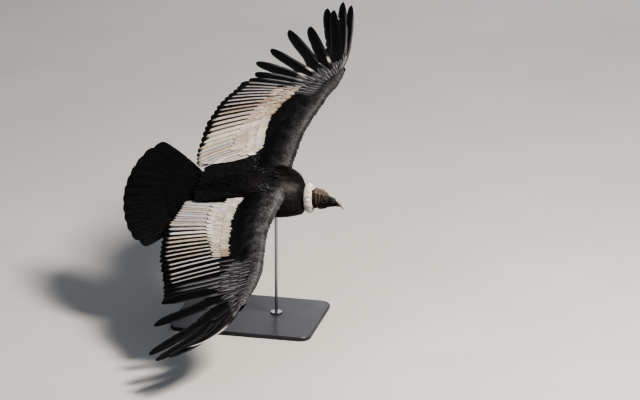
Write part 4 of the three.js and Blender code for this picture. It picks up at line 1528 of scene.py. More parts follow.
    def hand_coverts(self, pile: Pile) -> None:
        """Add the long coverts over the primaries' quills and the three feathers of the thumb.

        Args:
            pile: what they are added to.
        """
        wing, pose = self.wing, self.pose
        lay = Feathering(wing, 13)
        for tier, (length, forward, height, wide) in enumerate(
            ((196, 0.06, 1.4, 16.0), (150, 0.2, 3.4, 13.0), (104, 0.36, 5.0, 11.0))
        ):
            i = np.linspace(-1.2, 9.2, 11 + 2 * tier) + self.jitter(11 + 2 * tier, 0.08)
            count = len(i)
            x, s = lerp(wing.wrist[:, None], wing.end[:, None], (i + 0.2) / 9.6)
            angle = np.interp(i, np.arange(10), pose.primary_angles) + lerp(-6, 3, smooth(i, -1, 3))
            plumes = Plumes(
                x + (wing.lead(s) - x) * forward, s, angle * (1 - 0.06 * tier) + self.jitter(count, 1.5),
                pose.covert_reach * (length - np.maximum(i, 0) * (7 - tier)) + self.jitter(count, 5), wide,
                wide * 1.25, root_height=-3.0, tip_height=height, flesh=True, blunt=5.0, wear=0.6,
            )
            silver = per(np.clip(0.95 - 0.1 * tier + self.jitter(count, 0.2), 0, 1))

            def paint(v: Array, a: Array, top: Array, silver: Array = silver) -> Array:
                """Colours of the points."""
                web = 0.75 * smooth(a, 0.05, 0.2) * (1 - 0.6 * smooth(a, 0.5, 0.75)) + 0.25 * smooth(
                    -a, 0.1, 0.5
                )
                rim = web * smooth(v, 0.05, 0.4) * (1 - 0.5 * smooth(v, 0.85, 0.93))
                fringe = np.maximum(smooth(a, 0.84, 0.96) * smooth(v, 0.2, 0.5), smooth(v, 0.955, 0.985))
                rim = np.maximum(rim, 0.8 * fringe) * silver
                wash = mixed(INK, PEWTER, 0.35 * smooth(v, 0.1, 0.5) * top)
                return mixed(wash, SILVER, rim * top)

            lay.lay(pile, plumes, BROAD, paint)
            quill(wing, pile, plumes, 0.9, INK)
        thumb = wing.wrist[1] + np.array([10.0, 22, 34])
        turn = np.interp(thumb, self.hand_s, pose.primary_angles)
        alula = Plumes(
            wing.lead(thumb) - np.array([26.0, 20, 14]), thumb, turn + np.array([18, 22, 26]),
            np.array([140.0, 118, 96]), 8.0, 14.0, root_height=-2.0, tip_height=3.0, flesh=True, blunt=6.0,
            wear=0.6,
        )
        lay.lay(pile, alula, BROAD, self.plain(INK, SILVER, 0.45))

    def under_coverts(self, pile: Pile) -> None:
        """Add the black coverts of the wing's underside.

        Args:
            pile: what they are added to.
        """
        wing = self.wing
        lay = Feathering(wing, 17)
        end = wing.end[1] + 6
        rows = (
            (26, 0.98, 150.0, 20.0), (34, 0.74, 104.0, 16.0), (44, 0.52, 76.0, 13.0), (56, 0.34, 58.0, 11.0)
        )
        rows += ((66, 0.19, 46.0, 9.5), (76, 0.08, 36.0, 8.0), (84, 0.01, 26.0, 7.0))
        for count, share, length, width in rows:
            s = np.linspace(-30, end, count) + self.jitter(count, 4)
            back = share * wing.chord(s) * 0.8 + 1
            plumes = Plumes(
                wing.lead(s) - back, s, self.lie(s, back + 40) + self.jitter(count, 3),
                length * self.draw.uniform(0.93, 1.07, count), width, width, root_height=4.0,
                tip_height=-2.4, flesh=False, blunt=4.0, wear=0.4,
            )
            flip = replace(BROAD if length > 90 else SMALL, tilt=-0.05)
            lay.lay(pile, plumes, flip, self.plain(SOOT, PEWTER, 0.25, 0.5))

    def coverts(self, finish: Material) -> Object:
        """The wing's coverts as one piece.

        Args:
            finish: their material.
        Returns:
            The larger coverts' piece; the lesser ones are a piece of their own.
        """
        pile = Pile()
        self.greater_coverts(pile)
        self.median_coverts(pile)
        self.hand_coverts(pile)
        self.under_coverts(pile)
        small = Pile()
        self.lesser_coverts(small)
        small.build(f"lesser_coverts_{self.pose.side.word}", finish, "plumage")
        return pile.build(f"coverts_{self.pose.side.word}", finish, "plumage")

    def scapulars(self, pile: Pile) -> None:
        """Add the shoulder feathers, which cover the joint of wing and back and the panel's inner edge.

        Args:
            pile: what they are added to.
        """
        bridge = Bridge(self.wing)
        xs, shares = np.meshgrid(np.linspace(185, -150, 17), np.linspace(0, 1, 9), indexing="ij")
        xs[:, 1::2] -= 10
        x = (xs + self.draw.uniform(-6, 6, xs.shape)).ravel()
        s = lerp(
            -80.0, self.pose.black_edge(x - 60) - 12,
            shares.ravel() + self.draw.uniform(-0.03, 0.03, x.shape),
        )
        front = smooth(x, -60, 150)
        turn = self.lie(np.maximum(s, 60), 220.0) * smooth(s, -10, 110)
        plumes = Plumes(
            x, s, turn + self.jitter(len(x), 4),
            lerp(120, 60, front) * self.draw.uniform(0.93, 1.07, len(x)),
            lerp(18, 11, front), lerp(18, 11, front), root_height=-7.0, tip_height=1.5, blunt=5.0, wear=0.5,
        )
        # Painted highlight on the rims of the shoulder feathers towards the front, stronger on about a third,
        # over faint pale rims on all
        edged = np.where(self.draw.random(len(x)) < 0.35, 1.0, 0.3)
        silver = per(0.5 * smooth(x, 30, 150) * smooth(s, -90, 0) * edged + 0.04)

        def paint(v: Array, a: Array, top: Array) -> Array:
            """Colours of the points."""
            rim = np.maximum(np.abs(a) ** 3, smooth(v, 0.7, 0.96)) * silver
            return mixed(INK, SILVER, rim * top)

        Feathering(bridge, 19).lay(pile, plumes, BROAD, paint)


@dataclass(frozen=True)
class Tail:
    """The fan of twelve tail feathers with the coverts over and under its root."""

    root: float = -262.0
    length: float = 430.0
    spread: float = 43.0
    bow: float = 14.0
    turn: float = -1.0
    uneven: float = 0.04
    rounded: float = 0.05

    def fan(
        self, count: int, spread: float, root: float, gather: float, length: float, outer: float,
        inner: float,
        level: float, tip: float | None = None,
    ) -> Plumes:
        """Feathers spread like a fan. The outer web of one on the right lies on its right.

        Args:
            count: how many.
            spread: degrees to the outermost.
            root: x of their roots.
            gather: half the roots' width.
            length: a feather's length.
            outer, inner: half widths of its webs.
            level: height of the roots.
            tip: height of the tips, if it differs.
        Returns:
            The feathers.
        """
        k = np.linspace(-1, 1, count)
        side = np.where(k < 0, -1.0, 1.0)
        long = length * (1 + self.uneven * k - self.rounded * k**8)
        angle = k * spread + self.turn
        widths = np.where(side > 0, outer, inner), np.where(side > 0, inner, outer)
        bow = side * self.bow * np.abs(k) * length / self.length
        return Plumes(
            np.full(count, root), k * gather, angle, long, *widths, root_height=level,
            tip_height=level if tip is None else tip, bow=bow, blunt=34.0, wear=0.9,
        )

    def build(self, finish: Material) -> tuple[Object, Object]:
        """The tail feathers, and the coverts round their root.

        Args:
            finish: their material.
        Returns:
            The two pieces.
        """
        rump = Rump()
        plumes = self.fan(12, self.spread, self.root, 58, self.length, 44, 62, 0)
        plumes.root_height = plumes.tip_height = 3 - 5 * np.abs(np.linspace(-1, 1, 12))
        level = replace(FINE, tilt=0.0)

        def paint(v: Array, a: Array, top: Array) -> Array:
            """Colours of the points."""
            rim = np.abs(a) ** 6 * 0.15 + smooth(v, 0.97, 1) * 0.1
            return mixed(INK, EARTH, rim)

        pile = Pile()
        Feathering(rump, 21).lay(pile, plumes, level, paint, sheet=True)
        quill(rump, pile, plumes, 1.8, SOOT)
        fan = pile.build("tail_feathers", finish, "plumage")
        small = Pile()
        lay = Feathering(rump, 23)
        flat = replace(BROAD, tilt=0.0)
        for count, root, length, height in (
            (14, -254, 200, 9), (15, -238, 160, 14), (15, -222, 124, 19), (13, -205, 96, 25)
        ):
            over = self.fan(count, 36, root, 56, length, 17, 19, height, height * 0.6)
            lay.lay(small, over, flat, paint)
        for count, root, length, height in (
            (12, -254, 214, -9), (13, -236, 176, -15), (12, -216, 140, -21)
        ):
            under = self.fan(count, 31, root, 50, length, 19, 20, height, height * 0.55)
            lay.lay(small, under, flat, paint)
        return fan, small.build("tail_coverts", finish, "plumage")


@dataclass
class BodyCoat:
    """Small feathers over the trunk and thighs, which rise to the left wing's root by a height."""

    trunk: Trunk = Trunk()
    rise: float = 42.0
    seed: int = 101

    def __post_init__(self) -> None:
        """Start the coat's own draws."""
        self.draw = np.random.default_rng(self.seed)

    def roots(self, spacing: Callable[[Array], Array]) -> tuple[Array, Array]:
        """Staggered roots over the trunk, closer where its feathers are smaller.

        Args:
            spacing: mm from feather to feather, by x.
        Returns:
            Their x and turn.
        """
        xs, turns = [], []
        x, odd = Trunk.front + 14, 0.0
        while x > Trunk.rear + 70:
            gap = float(spacing(x))
            girth = math.pi * (self.trunk.width(x) + (self.trunk.top(x) - self.trunk.bottom(x)) / 2)
            count = int(girth / gap)
            turn = (np.arange(count) + odd) / count * 2 * np.pi
            turns.append(turn + self.draw.uniform(-0.3, 0.3, count) * gap / 110)
            xs.append(x + self.draw.uniform(-0.3, 0.3, count) * gap)
            x -= gap * 0.72
            odd = 0.5 - odd
        return np.concatenate(xs), np.concatenate(turns) % (2 * np.pi)

    def build(self, finish: Material, plumage: Iterable[WingPlumage]) -> list[Object]:
        """The trunk's coat: back with the shoulder feathers, nape with the cape, and breast.

        Args:
            finish: its material.
            plumage: the wings whose shoulder feathers it carries.
        Returns:
            The three pieces.
        """
        size = Profile((-300, 19), (-150, 18), (60, 15), (200, 11), (285, 8))
        x, turn = self.roots(size)
        count = len(x)
        gap = size(x)
        under = np.sin(turn) < -0.15
        length = gap * lerp(3.3, 3.9, smooth(x, 150, 285)) * self.draw.uniform(0.88, 1.12, count)
        width = gap * lerp(0.9, 0.62, smooth(x, 180, 285)) * self.draw.uniform(0.9, 1.1, count)
        hackle = smooth(x, 150, 260) * smooth(np.sin(turn + 0.2), -0.45, 0.25)
        pale = np.clip(hackle * self.draw.uniform(0.2, 1.3, count), 0, 1)
        shade = self.draw.uniform(0.75, 1.3, count)
        pieces = []
        nape = ~under & (x > 90)
        for name, part in (("coat_back", ~under & ~nape), ("coat_nape", nape), ("coat_breast", under)):
            plumes = Plumes(
                x[part], turn[part], self.draw.uniform(-9, 9, part.sum()), length[part], width[part],
                width[part],
                root_height=-11.0, tip_height=1.5, lift=self.draw.uniform(-0.5, 2.0, part.sum()), blunt=2.6,
                wear=0.5,
            )
            pile = Pile()
            lay = Feathering(self.trunk, 29)
            lay.lay(pile, plumes, SMALL, self.streaked(pale[part], shade[part]))
            if name == "coat_back":
                for wing in plumage:
                    wing.scapulars(pile)
            if name == "coat_nape":
                self.cape(pile)
            pieces.append(pile.build(name, finish, "plumage"))
        return pieces

    def cape(self, pile: Pile) -> None:
        """Add the longer feathers that run from the neck's base up onto the front of each wing's root.

        Args:
            pile: what they are added to.
        """
        for side, full in ((1, self.rise), (-1, 0.45 * self.rise)):
            row, across = np.meshgrid(np.arange(9), np.linspace(-38, 40, 19), indexing="ij")
            turn = np.radians(across + 3 * (row % 2)).ravel() + self.draw.uniform(-0.03, 0.03, row.size)
            x = 297 - 8.5 * row.ravel() + self.draw.uniform(-3, 3, row.size)
            rise = full * bell(np.degrees(turn), 30)
            start = math.radians(44 if side > 0 else 136)
            long = lerp(56, 80, smooth(row.ravel(), 0, 8)) * self.draw.uniform(0.9, 1.1, row.size)
            ramp_up = np.clip((296 - x) / 80, 0, 1)
            plumes = Plumes(
                x, start + side * turn, self.draw.uniform(-5, 5, row.size), long, 6.5, 6.5,
                root_height=rise * ramp_up - 8, tip_height=rise * np.clip(ramp_up + 0.75, 0, 1) + 1.5,
                blunt=2.6, wear=0.5,
            )
            pale = self.draw.uniform(0.1, 1.0, row.size)
            shade = self.draw.uniform(0.8, 1.3, row.size)
            Feathering(self.trunk, 31).lay(pile, plumes, BROAD, self.streaked(pale, shade))

    def streaked(self, pale: Array, shade: Array) -> Paint:
        """Black feathers, some with an earth-grey streak down the middle and pale margins.

        Args:
            pale: share of grey in each.
            shade: brightness of each.
        Returns:
            Their paint.
        """

        def paint(v: Array, a: Array, top: Array) -> Array:
            """Colours of the points."""
            streak = per(pale) * (0.35 + 0.65 * smooth(v, 0.3, 0.9)) * (0.6 + 0.4 * np.abs(a))
            base = mixed(INK, EARTH, 0.25 * smooth(v, 0.8, 1.0))
            return mixed(base, mixed(EARTH, PEWTER, per(pale) * 0.5), 0.62 * streak) * per(shade)[..., None]

        return paint

    def thighs(self, finish: Material, legs: Iterable[Limb]) -> Object:
        """The feathered thighs as one piece.

        Args:
            finish: their material.
            legs: the legs' forms.
        Returns:
            The piece.
        """
        pile = Pile()
        for leg in legs:
            shares, turns = [], []
            t, odd = 0.02, 0.0
            while t < 0.93:
                gap = lerp(17, 9, t)
                count = int(2 * math.pi * leg.wide(t) / gap) + 2
                turns.append(
                    (np.arange(count) + odd) / count * 2 * np.pi + self.draw.uniform(-0.1, 0.1, count)
                )
                shares.append(np.full(count, t))
                t += gap * 0.6 / leg.length
                odd = 0.5 - odd
            t, turn = np.concatenate(shares), np.concatenate(turns)
            long = lerp(52, 26, t) * self.draw.uniform(0.9, 1.1, len(t))
            long = np.minimum(long, (1.0 - t) * leg.length + 6)
            wide = lerp(11, 5.5, t)
            plumes = Plumes(
                t, turn, self.draw.uniform(-8, 8, len(t)), long, wide, wide, root_height=lerp(-8, -3, t),
                tip_height=1.0, blunt=2.6, wear=0.5,
            )
            shade = self.draw.uniform(0.75, 1.3, len(t))
            Feathering(leg, 37).lay(pile, plumes, SMALL, self.streaked(np.full(len(t), 0.1), shade))
        return pile.build("coat_thighs", finish, "plumage")


@dataclass(frozen=True)
class Ruff:
    """The collar of white down round the neck's base, a ring of threads on an under-layer."""

    at: tuple[float, float, float] = (314.0, 0.0, -50.0)
    middle: float = 50.0
    thick: float = 29.0
    deep: float = 22.0
    threads: int = 5200

    def build(self, finish: Material) -> list[Object]:
        """The down as two pieces of fine curved blades, behind and in front.

        Args:
            finish: its material.
        Returns:
            The two pieces.
        """
        pieces = [self.half(finish, "rear", 211, 0.0, 0.5), self.half(finish, "front", 223, 0.5, 1.0)]
        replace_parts(pieces[0], "ruff")
        return pieces

    def half(self, finish: Material, name: str, seed: int, low: float, high: float) -> Object:
        """Half of the collar's depth.

        Args:
            finish: its material.
            name: which half it is.
            seed: for the places and curls of its blades.
            low: share of the depth where it starts, from the back.
            high: share where it ends.
        Returns:
            The new object.
        """
        draw = np.random.default_rng(seed)
        n, segments = self.threads, 4
        turn = draw.uniform(0, 2 * np.pi, n)
        share = draw.uniform(low, high, n)
        around = np.stack([share * 40, 80 * np.cos(turn), 80 * np.sin(turn)], -1)
        tuft, sweep = Speckle(5, 30)(around), Speckle(8, 22)(around)
        tilt = np.radians(lerp(-105, 105, share))
        v = np.linspace(0, 1, segments + 1)[None]
        lean = 0.5 * sweep + draw.uniform(-0.45, 0.45, n)
        swirl = 0.5 * Speckle(3, 24)(around) + draw.uniform(-0.45, 0.45, n)
        grown = 1.0 + 0.04 * tuft + draw.uniform(-0.05, 0.03, n)
        height = lerp(0.55, grown[:, None], v)
        bend = tilt[:, None] + 0.35 * lean[:, None] * v**1.5
        phi = turn[:, None] + 0.16 * swirl[:, None] * v**1.5
        reach = self.middle + self.thick * height * np.cos(bend)
        centre = np.stack(
            [
                self.at[0] + self.deep * height * np.sin(bend), reach * np.cos(phi),
                self.at[2] + reach * np.sin(phi),
            ], -1
        )
        wide = 1.5 * (1 - v**2 * 0.7)
        round_way = np.stack([np.zeros_like(phi), -np.sin(phi), np.cos(phi)], -1)
        front_way = np.broadcast_to([1.0, 0.0, 0.0], round_way.shape)
        ring = [(1, 0), (0, 0.5), (-1, 0), (0, -0.5)]
        wide = wide[..., None]
        points = np.stack([centre + round_way * (wide * p) + front_way * (wide * q) for p, q in ring], 2)
        rows = segments + 1
        # Painted shade: the collar's underside and the roots of its threads are mixed towards tan
        under = smooth(-np.sin(turn), 0.6, 1.0)[:, None, None] * 0.45
        deep = (1 - v[..., None]) * 0.12 + 0.04 * (1 - tuft[:, None, None])
        tones = mixed(SNOW, TAN, np.clip(under + deep, 0, 1) * np.ones((n, rows, 4)))
        origin = np.stack([0.02 + 0.94 * share, 0.01 + 0.97 * turn / (2 * np.pi)], -1)
        pile = Pile()
        pile.add(
            points.reshape(n, -1, 3), ring_quads(rows, 4), tones.reshape(n, -1, 3),
            np.zeros((n, 4 * rows, 2)),
            origin[:, None, None] + ring_corners(rows, 4) * Feathering.patch,
        )
        self.pad(pile, low, high)
        return pile.build(f"ruff_down_{name}", finish, "down", crease=180)

    def pad(self, pile: Pile, low: float, high: float) -> None:
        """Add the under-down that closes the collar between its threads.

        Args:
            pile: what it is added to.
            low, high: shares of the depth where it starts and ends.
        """
        tilt, turn = grid(np.radians(lerp(-90, 90, np.linspace(low, high, 9))), 96)
        reach = self.middle + 0.7 * self.thick * np.cos(tilt)
        points = np.stack(
            [
                self.at[0] + 0.7 * self.deep * np.sin(tilt), reach * np.cos(turn),
                self.at[2] + reach * np.sin(turn),
            ], -1
        ).reshape(1, -1, 3)
        tones = np.broadcast_to(SNOW * 0.85, points.shape)
        corners = ring_corners(9, 96)[..., ::-1]
        spread = np.array([high - low, 1.0]) * 0.94
        pile.add(
            points, ring_quads(9, 96), tones, np.zeros((1, 864, 2)),
            (corners * spread + [low * 0.94 + 0.02, 0.01])[None],
        )


@dataclass(frozen=True)
class Head:
    """The bare head and neck with comb, lids, folds and wattle, in the head's own frame."""

    width: Profile = Profile(
        (-90, 46), (-40, 48), (-14, 45), (20, 38), (50, 31), (75, 22), (95, 15), (112, 12)
    )
    top: Profile = Profile(
        (-90, 50), (-40, 52), (-14, 48), (20, 38), (50, 34), (75, 29), (95, 23), (112, 18)
    )
    bottom: Profile = Profile(
        (-90, -50), (-40, -48), (-14, -46), (20, -44), (50, -38), (75, -32), (95, -28), (112, -25)
    )
    eye_at: tuple[float, float, float] = (48.0, 21.0, 15.0)
    eye_radius: float = 9.0
    front: float = 112.0
    lumps: Speckle = Speckle(61, 13)
    fine: Speckle = Speckle(67, 5.5)

    def relief(self, p: Array) -> Array:
        """How far the skin stands out, in mm, at points of the smooth head.

        Args:
            p: (..., 3) points.
        Returns:
            Heights.
        """
        x, y, z = p[..., 0], np.abs(p[..., 1]), p[..., 2]
        rings = 2.4 * np.sin((x + 5 * np.sin(z / 14) + 3 * self.lumps(p)) / 2.5) * (1 - smooth(x, 8, 30))
        slack = self.folds(x, z)
        cheek = 0.7 * self.lumps(p) * smooth(x, 10, 40) * (1 - smooth(x, 80, 104))
        return rings + slack + cheek + 0.28 * self.fine(p) + self.eye_relief(x, y, z) + self.mouth_relief(
            x, y, z
        )

    def folds(self, x: Array, z: Array) -> Array:
        """The slack folds that run down the cheek and throat.

        Args:
            x, z: places on the head.
        Returns:
            Heights.
        """
        total = np.zeros_like(x)
        for start, lean, size, wide in ((5, 0.1, 3.4, 4.2), (17, 0.22, 3.2, 4.6), (31, 0.34, 1.8, 4.0)):
            total += size * bell(x - start - lean * (z + 10) + 0.006 * (z + 6) ** 2, wide)
        lip = 1.9 * bell(z + 4.5 + 0.02 * (x - 60), 2.4) + 1.7 * bell(z + 15.5, 2.6)
        return total * smooth(z, -46, -30) + lip * smooth(x, 54, 66) * (1 - smooth(x, 101, 108))

    def eye_relief(self, x: Array, y: Array, z: Array) -> Array:
        """The hollow of the eye between its two lids, and the brow over it.

        Args:
            x, y, z: places on the head, y outwards.
        Returns:
            Heights.
        """
        dx, dz = x - self.eye_at[0], z - self.eye_at[2]
        r = np.hypot(dx / 1.15, dz)
        side = smooth(y, 12, 20)
        hollow = -5.0 * (1 - smooth(r, 5.6, 8.2))
        lid = 2.4 * bell(r - 8.8, 1.5)
        ring = bell(r - 13.0, 1.4)
        brow = 2.4 * bell(dz - 13 + 0.012 * dx**2, 3.0) * (1 - smooth(np.abs(dx), 12, 22))
        return (hollow + lid + ring + brow) * side

    def mouth_relief(self, x: Array, y: Array, z: Array) -> Array:
        """The line of the mouth, the nostril and the ear's hole.

        Args:
            x, y, z: places on the head, y outwards.
        Returns:
            Heights.
        """
        line = -8.6 - 0.05 * (x - 60)
        mouth = -2.6 * bell(z - line, 1.3) * smooth(x, 58, 64) * smooth(y, 3, 8)
        nostril = -4.5 * np.exp(-((((x - 90) / 6.5) ** 4) + (((z - 7.2) / 1.9) ** 4)))
        rim = 1.3 * np.exp(-((np.hypot((x - 90) / 1.9, z - 7.2) - 5.2) ** 2) / 1.6) * smooth(x, 76, 84)
        ear = -3.2 * np.exp(-(((x - 20) / 4.2) ** 2 + ((z - 1) / 5.5) ** 2)) * smooth(y, 20, 30)
        return mouth + (nostril + rim) * smooth(y, 3, 9) + ear

    def comb(self, x: Array, y: Array) -> Array:
        """Height of the fleshy comb over the crown and bill.

        Args:
            x, y: places on the head.
        Returns:
            Heights.
        """
        t = np.clip((x + 16) / 120, 0, 1)
        rise = 26 * np.sin(np.pi * np.minimum(t * 1.25 + 0.12, 1)) ** 0.6 * (1 - 0.7 * smooth(t, 0.7, 1))
        rise = rise + 1.8 * np.sin(x / 4.1) + 1.1 * np.sin(x / 2.3 + 1)
        half = 7.6 - 2.4 * t
        return np.maximum(rise, 0) * (1 - smooth(np.abs(y), half * 0.45, half * 1.12)) * smooth(x, -17, -9)

    def rings(self) -> Array:
        """Points of the skin from inside the trunk to the bill, in rings that lie closer on the face.

        Returns:
            (rings, points, 3) places in the head's frame.
        """
        x = np.concatenate([np.linspace(-88, -10, 44), np.linspace(-9, self.front, 128)])
        u = np.linspace(0, 1, 160, endpoint=False)
        turn = 2 * np.pi * u
        turn = turn - 0.22 * np.sin(2 * turn - np.pi)
        x2, turn2 = np.meshgrid(x, turn, indexing="ij")
        top, bottom = self.top(x2), self.bottom(x2)
        crown = 1 - 0.16 * np.maximum(np.sin(turn2), 0) ** 2
        wide = self.width(x2) * crown
        y, z = wide * np.cos(turn2), (top + bottom) / 2 + (top - bottom) / 2 * np.sin(turn2)
        p = np.stack([x2, y, z], -1)
        normal = np.stack([np.zeros_like(y), np.cos(turn2) * (top - bottom) / 2, np.sin(turn2) * wide], -1)
        normal /= np.linalg.norm(normal, axis=-1, keepdims=True)
        end = smooth(x2, 97, self.front)
        p = p + normal * (self.relief(p) * (1 - end) - 2.6 * end)[..., None]
        up = smooth(np.sin(turn2), 0.2, 0.8)
        p[..., 2] += self.comb(x2, p[..., 1]) * up
        throat = 10 * np.sin(np.pi * np.clip((x2 - 2) / 70, 0, 1)) ** 0.8 + 0.8 * np.sin(x2 / 3.1)
        down = smooth(-np.sin(turn2), 0.5, 0.9) * (1 - smooth(np.abs(p[..., 1]), 4, 9)) * smooth(x2, 0, 6)
        p[..., 2] -= throat * down * (1 - smooth(x2, 60, 74))
        return p

    def tones(self, p: Array) -> Array:
        """Colours of the skin at points in the head's frame.

        Args:
            p: (..., 3) points.
        Returns:
            (..., 3) linear colours.
        """
        x, y, z = p[..., 0], p[..., 1], p[..., 2]
        side = np.abs(y)
        patch, grain = self.lumps(p), self.fine(p)
        ink, dark, olive = linear("#0c0a0a"), linear("#14100f"), linear("#4a4034")
        rose, wine, pale = linear("#b0a096"), linear("#3a1f1d"), linear("#a09a96")
        out = mixed(ink, dark, 0.5 + 0.4 * patch)
        neck = (1 - smooth(x + 0.12 * z + 2 * patch, 12, 24)) * smooth(z, -38, -20)
        ridge = 0.5 + 0.5 * np.sin((x + 5 * np.sin(z / 14) + 3 * patch) / 2.5)
        lit = lerp(0.45, 1.0, smooth(z, -12, 26))
        out = mixed(out, olive, neck * lit * np.clip(0.2 + 0.55 * ridge + 0.3 * grain, 0, 1))
        fold = np.clip(self.folds(x, z) / 3.4, 0, 1)
        out = mixed(out, mixed(olive, rose, 0.3), fold * 0.4 * smooth(z, -30, 5) * (1 - smooth(x, 60, 80)))
        throat = smooth(-z, 20, 34) * smooth(x, 8, 25) * (1 - smooth(x, 70, 92))
        out = mixed(out, wine, throat * np.clip(0.7 + 0.3 * patch, 0, 1))
        crown = smooth(z - self.top(x), -4, 4) * smooth(x, -18, -8)
        out = mixed(out, mixed(rose, pale, smooth(x, 40, 90)), crown * np.clip(0.7 + 0.35 * grain, 0, 1))
        eye = np.hypot((x - 48) / 1.2, z - 15)
        ring = bell(eye - 12.5, 3.2) * smooth(side, 12, 18)
        out = mixed(out, pale, 0.14 * ring)
        cere = smooth(x, 74, 92) * smooth(z, -2, 6) * np.clip(0.5 + 0.5 * patch, 0, 1)
        out = mixed(out, pale, cere * 0.3)
        gape = bell(z + 9, 1.6) * smooth(x, 58, 62) * smooth(side, 3, 8)
        return mixed(out, ink, gape * 0.9)


@dataclass(frozen=True)
class Skin:
    """One skin under the coat: trunk, neck, head, wings' flesh and thighs, joined with no seam."""

    head: Head
    wings: Sequence[Wing]
    legs: Sequence[Limb]
    coat: float = 9.0

    def tube(self, rings: Array) -> Object:
        """A bare closed mesh through rings of points in the bird's frame.

        Args:
            rings: (rings, points, 3) places.
        Returns:
            The mesh's object.
        """
        rows, ring = rings.shape[:2]
        mesh = bpy.data.meshes.new("part")
        mesh.from_pydata(carried(rings.reshape(-1, 3), BIRD).tolist(), [], ring_quads(rows, ring).tolist())
        piece = placed("part", mesh)
        if signed_volume(mesh) < 0:
            mesh.flip_normals()
        return piece

    def forms(self) -> list[Object]:
        """The closed forms that the skin is made of, each inside its solid by the coat's depth.

        Returns:
            The forms, the head's first.
        """
        trunk = Trunk()
        x, turn = grid(np.linspace(Trunk.rear + 40, Trunk.front - 4, 60), 72)
        made = [
            self.tube(carried(self.head.rings(), HEAD_IN_BIRD)), self.tube(trunk.point(x, turn, -self.coat))
        ]
        for wing in self.wings:
            s = np.linspace(-40, wing.end[1] + 8, 60)[:, None]
            u = np.concatenate([np.linspace(0, 0.97, 20), np.linspace(0.97, 0, 20)[1:-1]])[None]
            over = np.arange(38) < 20
            inset = 4.0 * np.sin(np.pi * np.clip(u / 0.97, 0, 1)) ** 0.5
            height = np.where(
                over, wing.over(u) * wing.depth(s) - inset, wing.below(u) * wing.depth(s) + inset * 0.6
            )
            height = np.where(over, np.maximum(height, 0.6), np.minimum(height, -0.6))
            made.append(self.tube(wing.point(wing.lead(s) - 3 - u * (wing.chord(s) - 6), s, height)))
        for leg in self.legs:
            t, turn = grid(np.linspace(0, 1, 26), 28)
            made.append(self.tube(leg.point(t, turn, -3 - 4 * (1 - t))))
        return made

    def build(self, finish: Material) -> Object:
        """The skin as one piece, with the coat's markings.

        Args:
            finish: its material.
        Returns:
            The piece.
        """
        parts = self.forms()
        cutters = bpy.data.collections.new("joined")
        for part in parts[1:]:
            cutters.objects.link(part)
        join = parts[0].modifiers.new("join", "BOOLEAN")
        join.operation, join.operand_type, join.solver = "UNION", "COLLECTION", "MANIFOLD"
        join.collection = cutters
        skin = parts[0]
        mesh = bpy.data.meshes.new_from_object(skin.evaluated_get(bpy.context.evaluated_depsgraph_get()))
        skin.modifiers.clear()
        skin.data = mesh
        skin.name = mesh.name = "skin"
        for part in parts[1:]:
            bpy.data.objects.remove(part)
        bpy.data.collections.remove(cutters)
        mesh.polygons.foreach_set("use_smooth", np.ones(len(mesh.polygons), bool))
        mesh.materials.clear()
        mesh.materials.append(finish)
        mesh.polygons.foreach_set("material_index", np.zeros(len(mesh.polygons), np.int32))
        flat = np.empty(len(mesh.vertices) * 3)
        mesh.vertices.foreach_get("co", flat)
        bird = carried(flat.reshape(-1, 3), BIRD.inverted())
        local = carried(bird, HEAD_IN_BIRD.inverted())
        radius = np.hypot(local[:, 1], local[:, 2])
        bare = smooth(local[:, 0], -34, -26) * (radius < 76)
        toned(skin, mixed(INK, self.head.tones(local), bare))
        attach(skin, "root")
        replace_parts(skin, "torso", "neck", "head", "leg_left", "leg_right")
        log.info("skin: %d faces", len(mesh.polygons))
        return skin


def signed_volume(mesh: bpy.types.Mesh) -> float:
    """The volume inside a closed mesh, negative where its faces look inwards.

    Args:
        mesh: a closed mesh.
    Returns:
        Cubic metres.
    """
    mesh.calc_loop_triangles()
    co = np.empty(len(mesh.vertices) * 3)
    mesh.vertices.foreach_get("co", co)
    tri = np.empty(len(mesh.loop_triangles) * 3, np.int32)
    mesh.loop_triangles.foreach_get("vertices", tri)
    a, b, c = co.reshape(-1, 3)[tri.reshape(-1, 3)].transpose(1, 0, 2)
    return float(np.einsum("ij,ij->", a, np.cross(b, c))) / 6


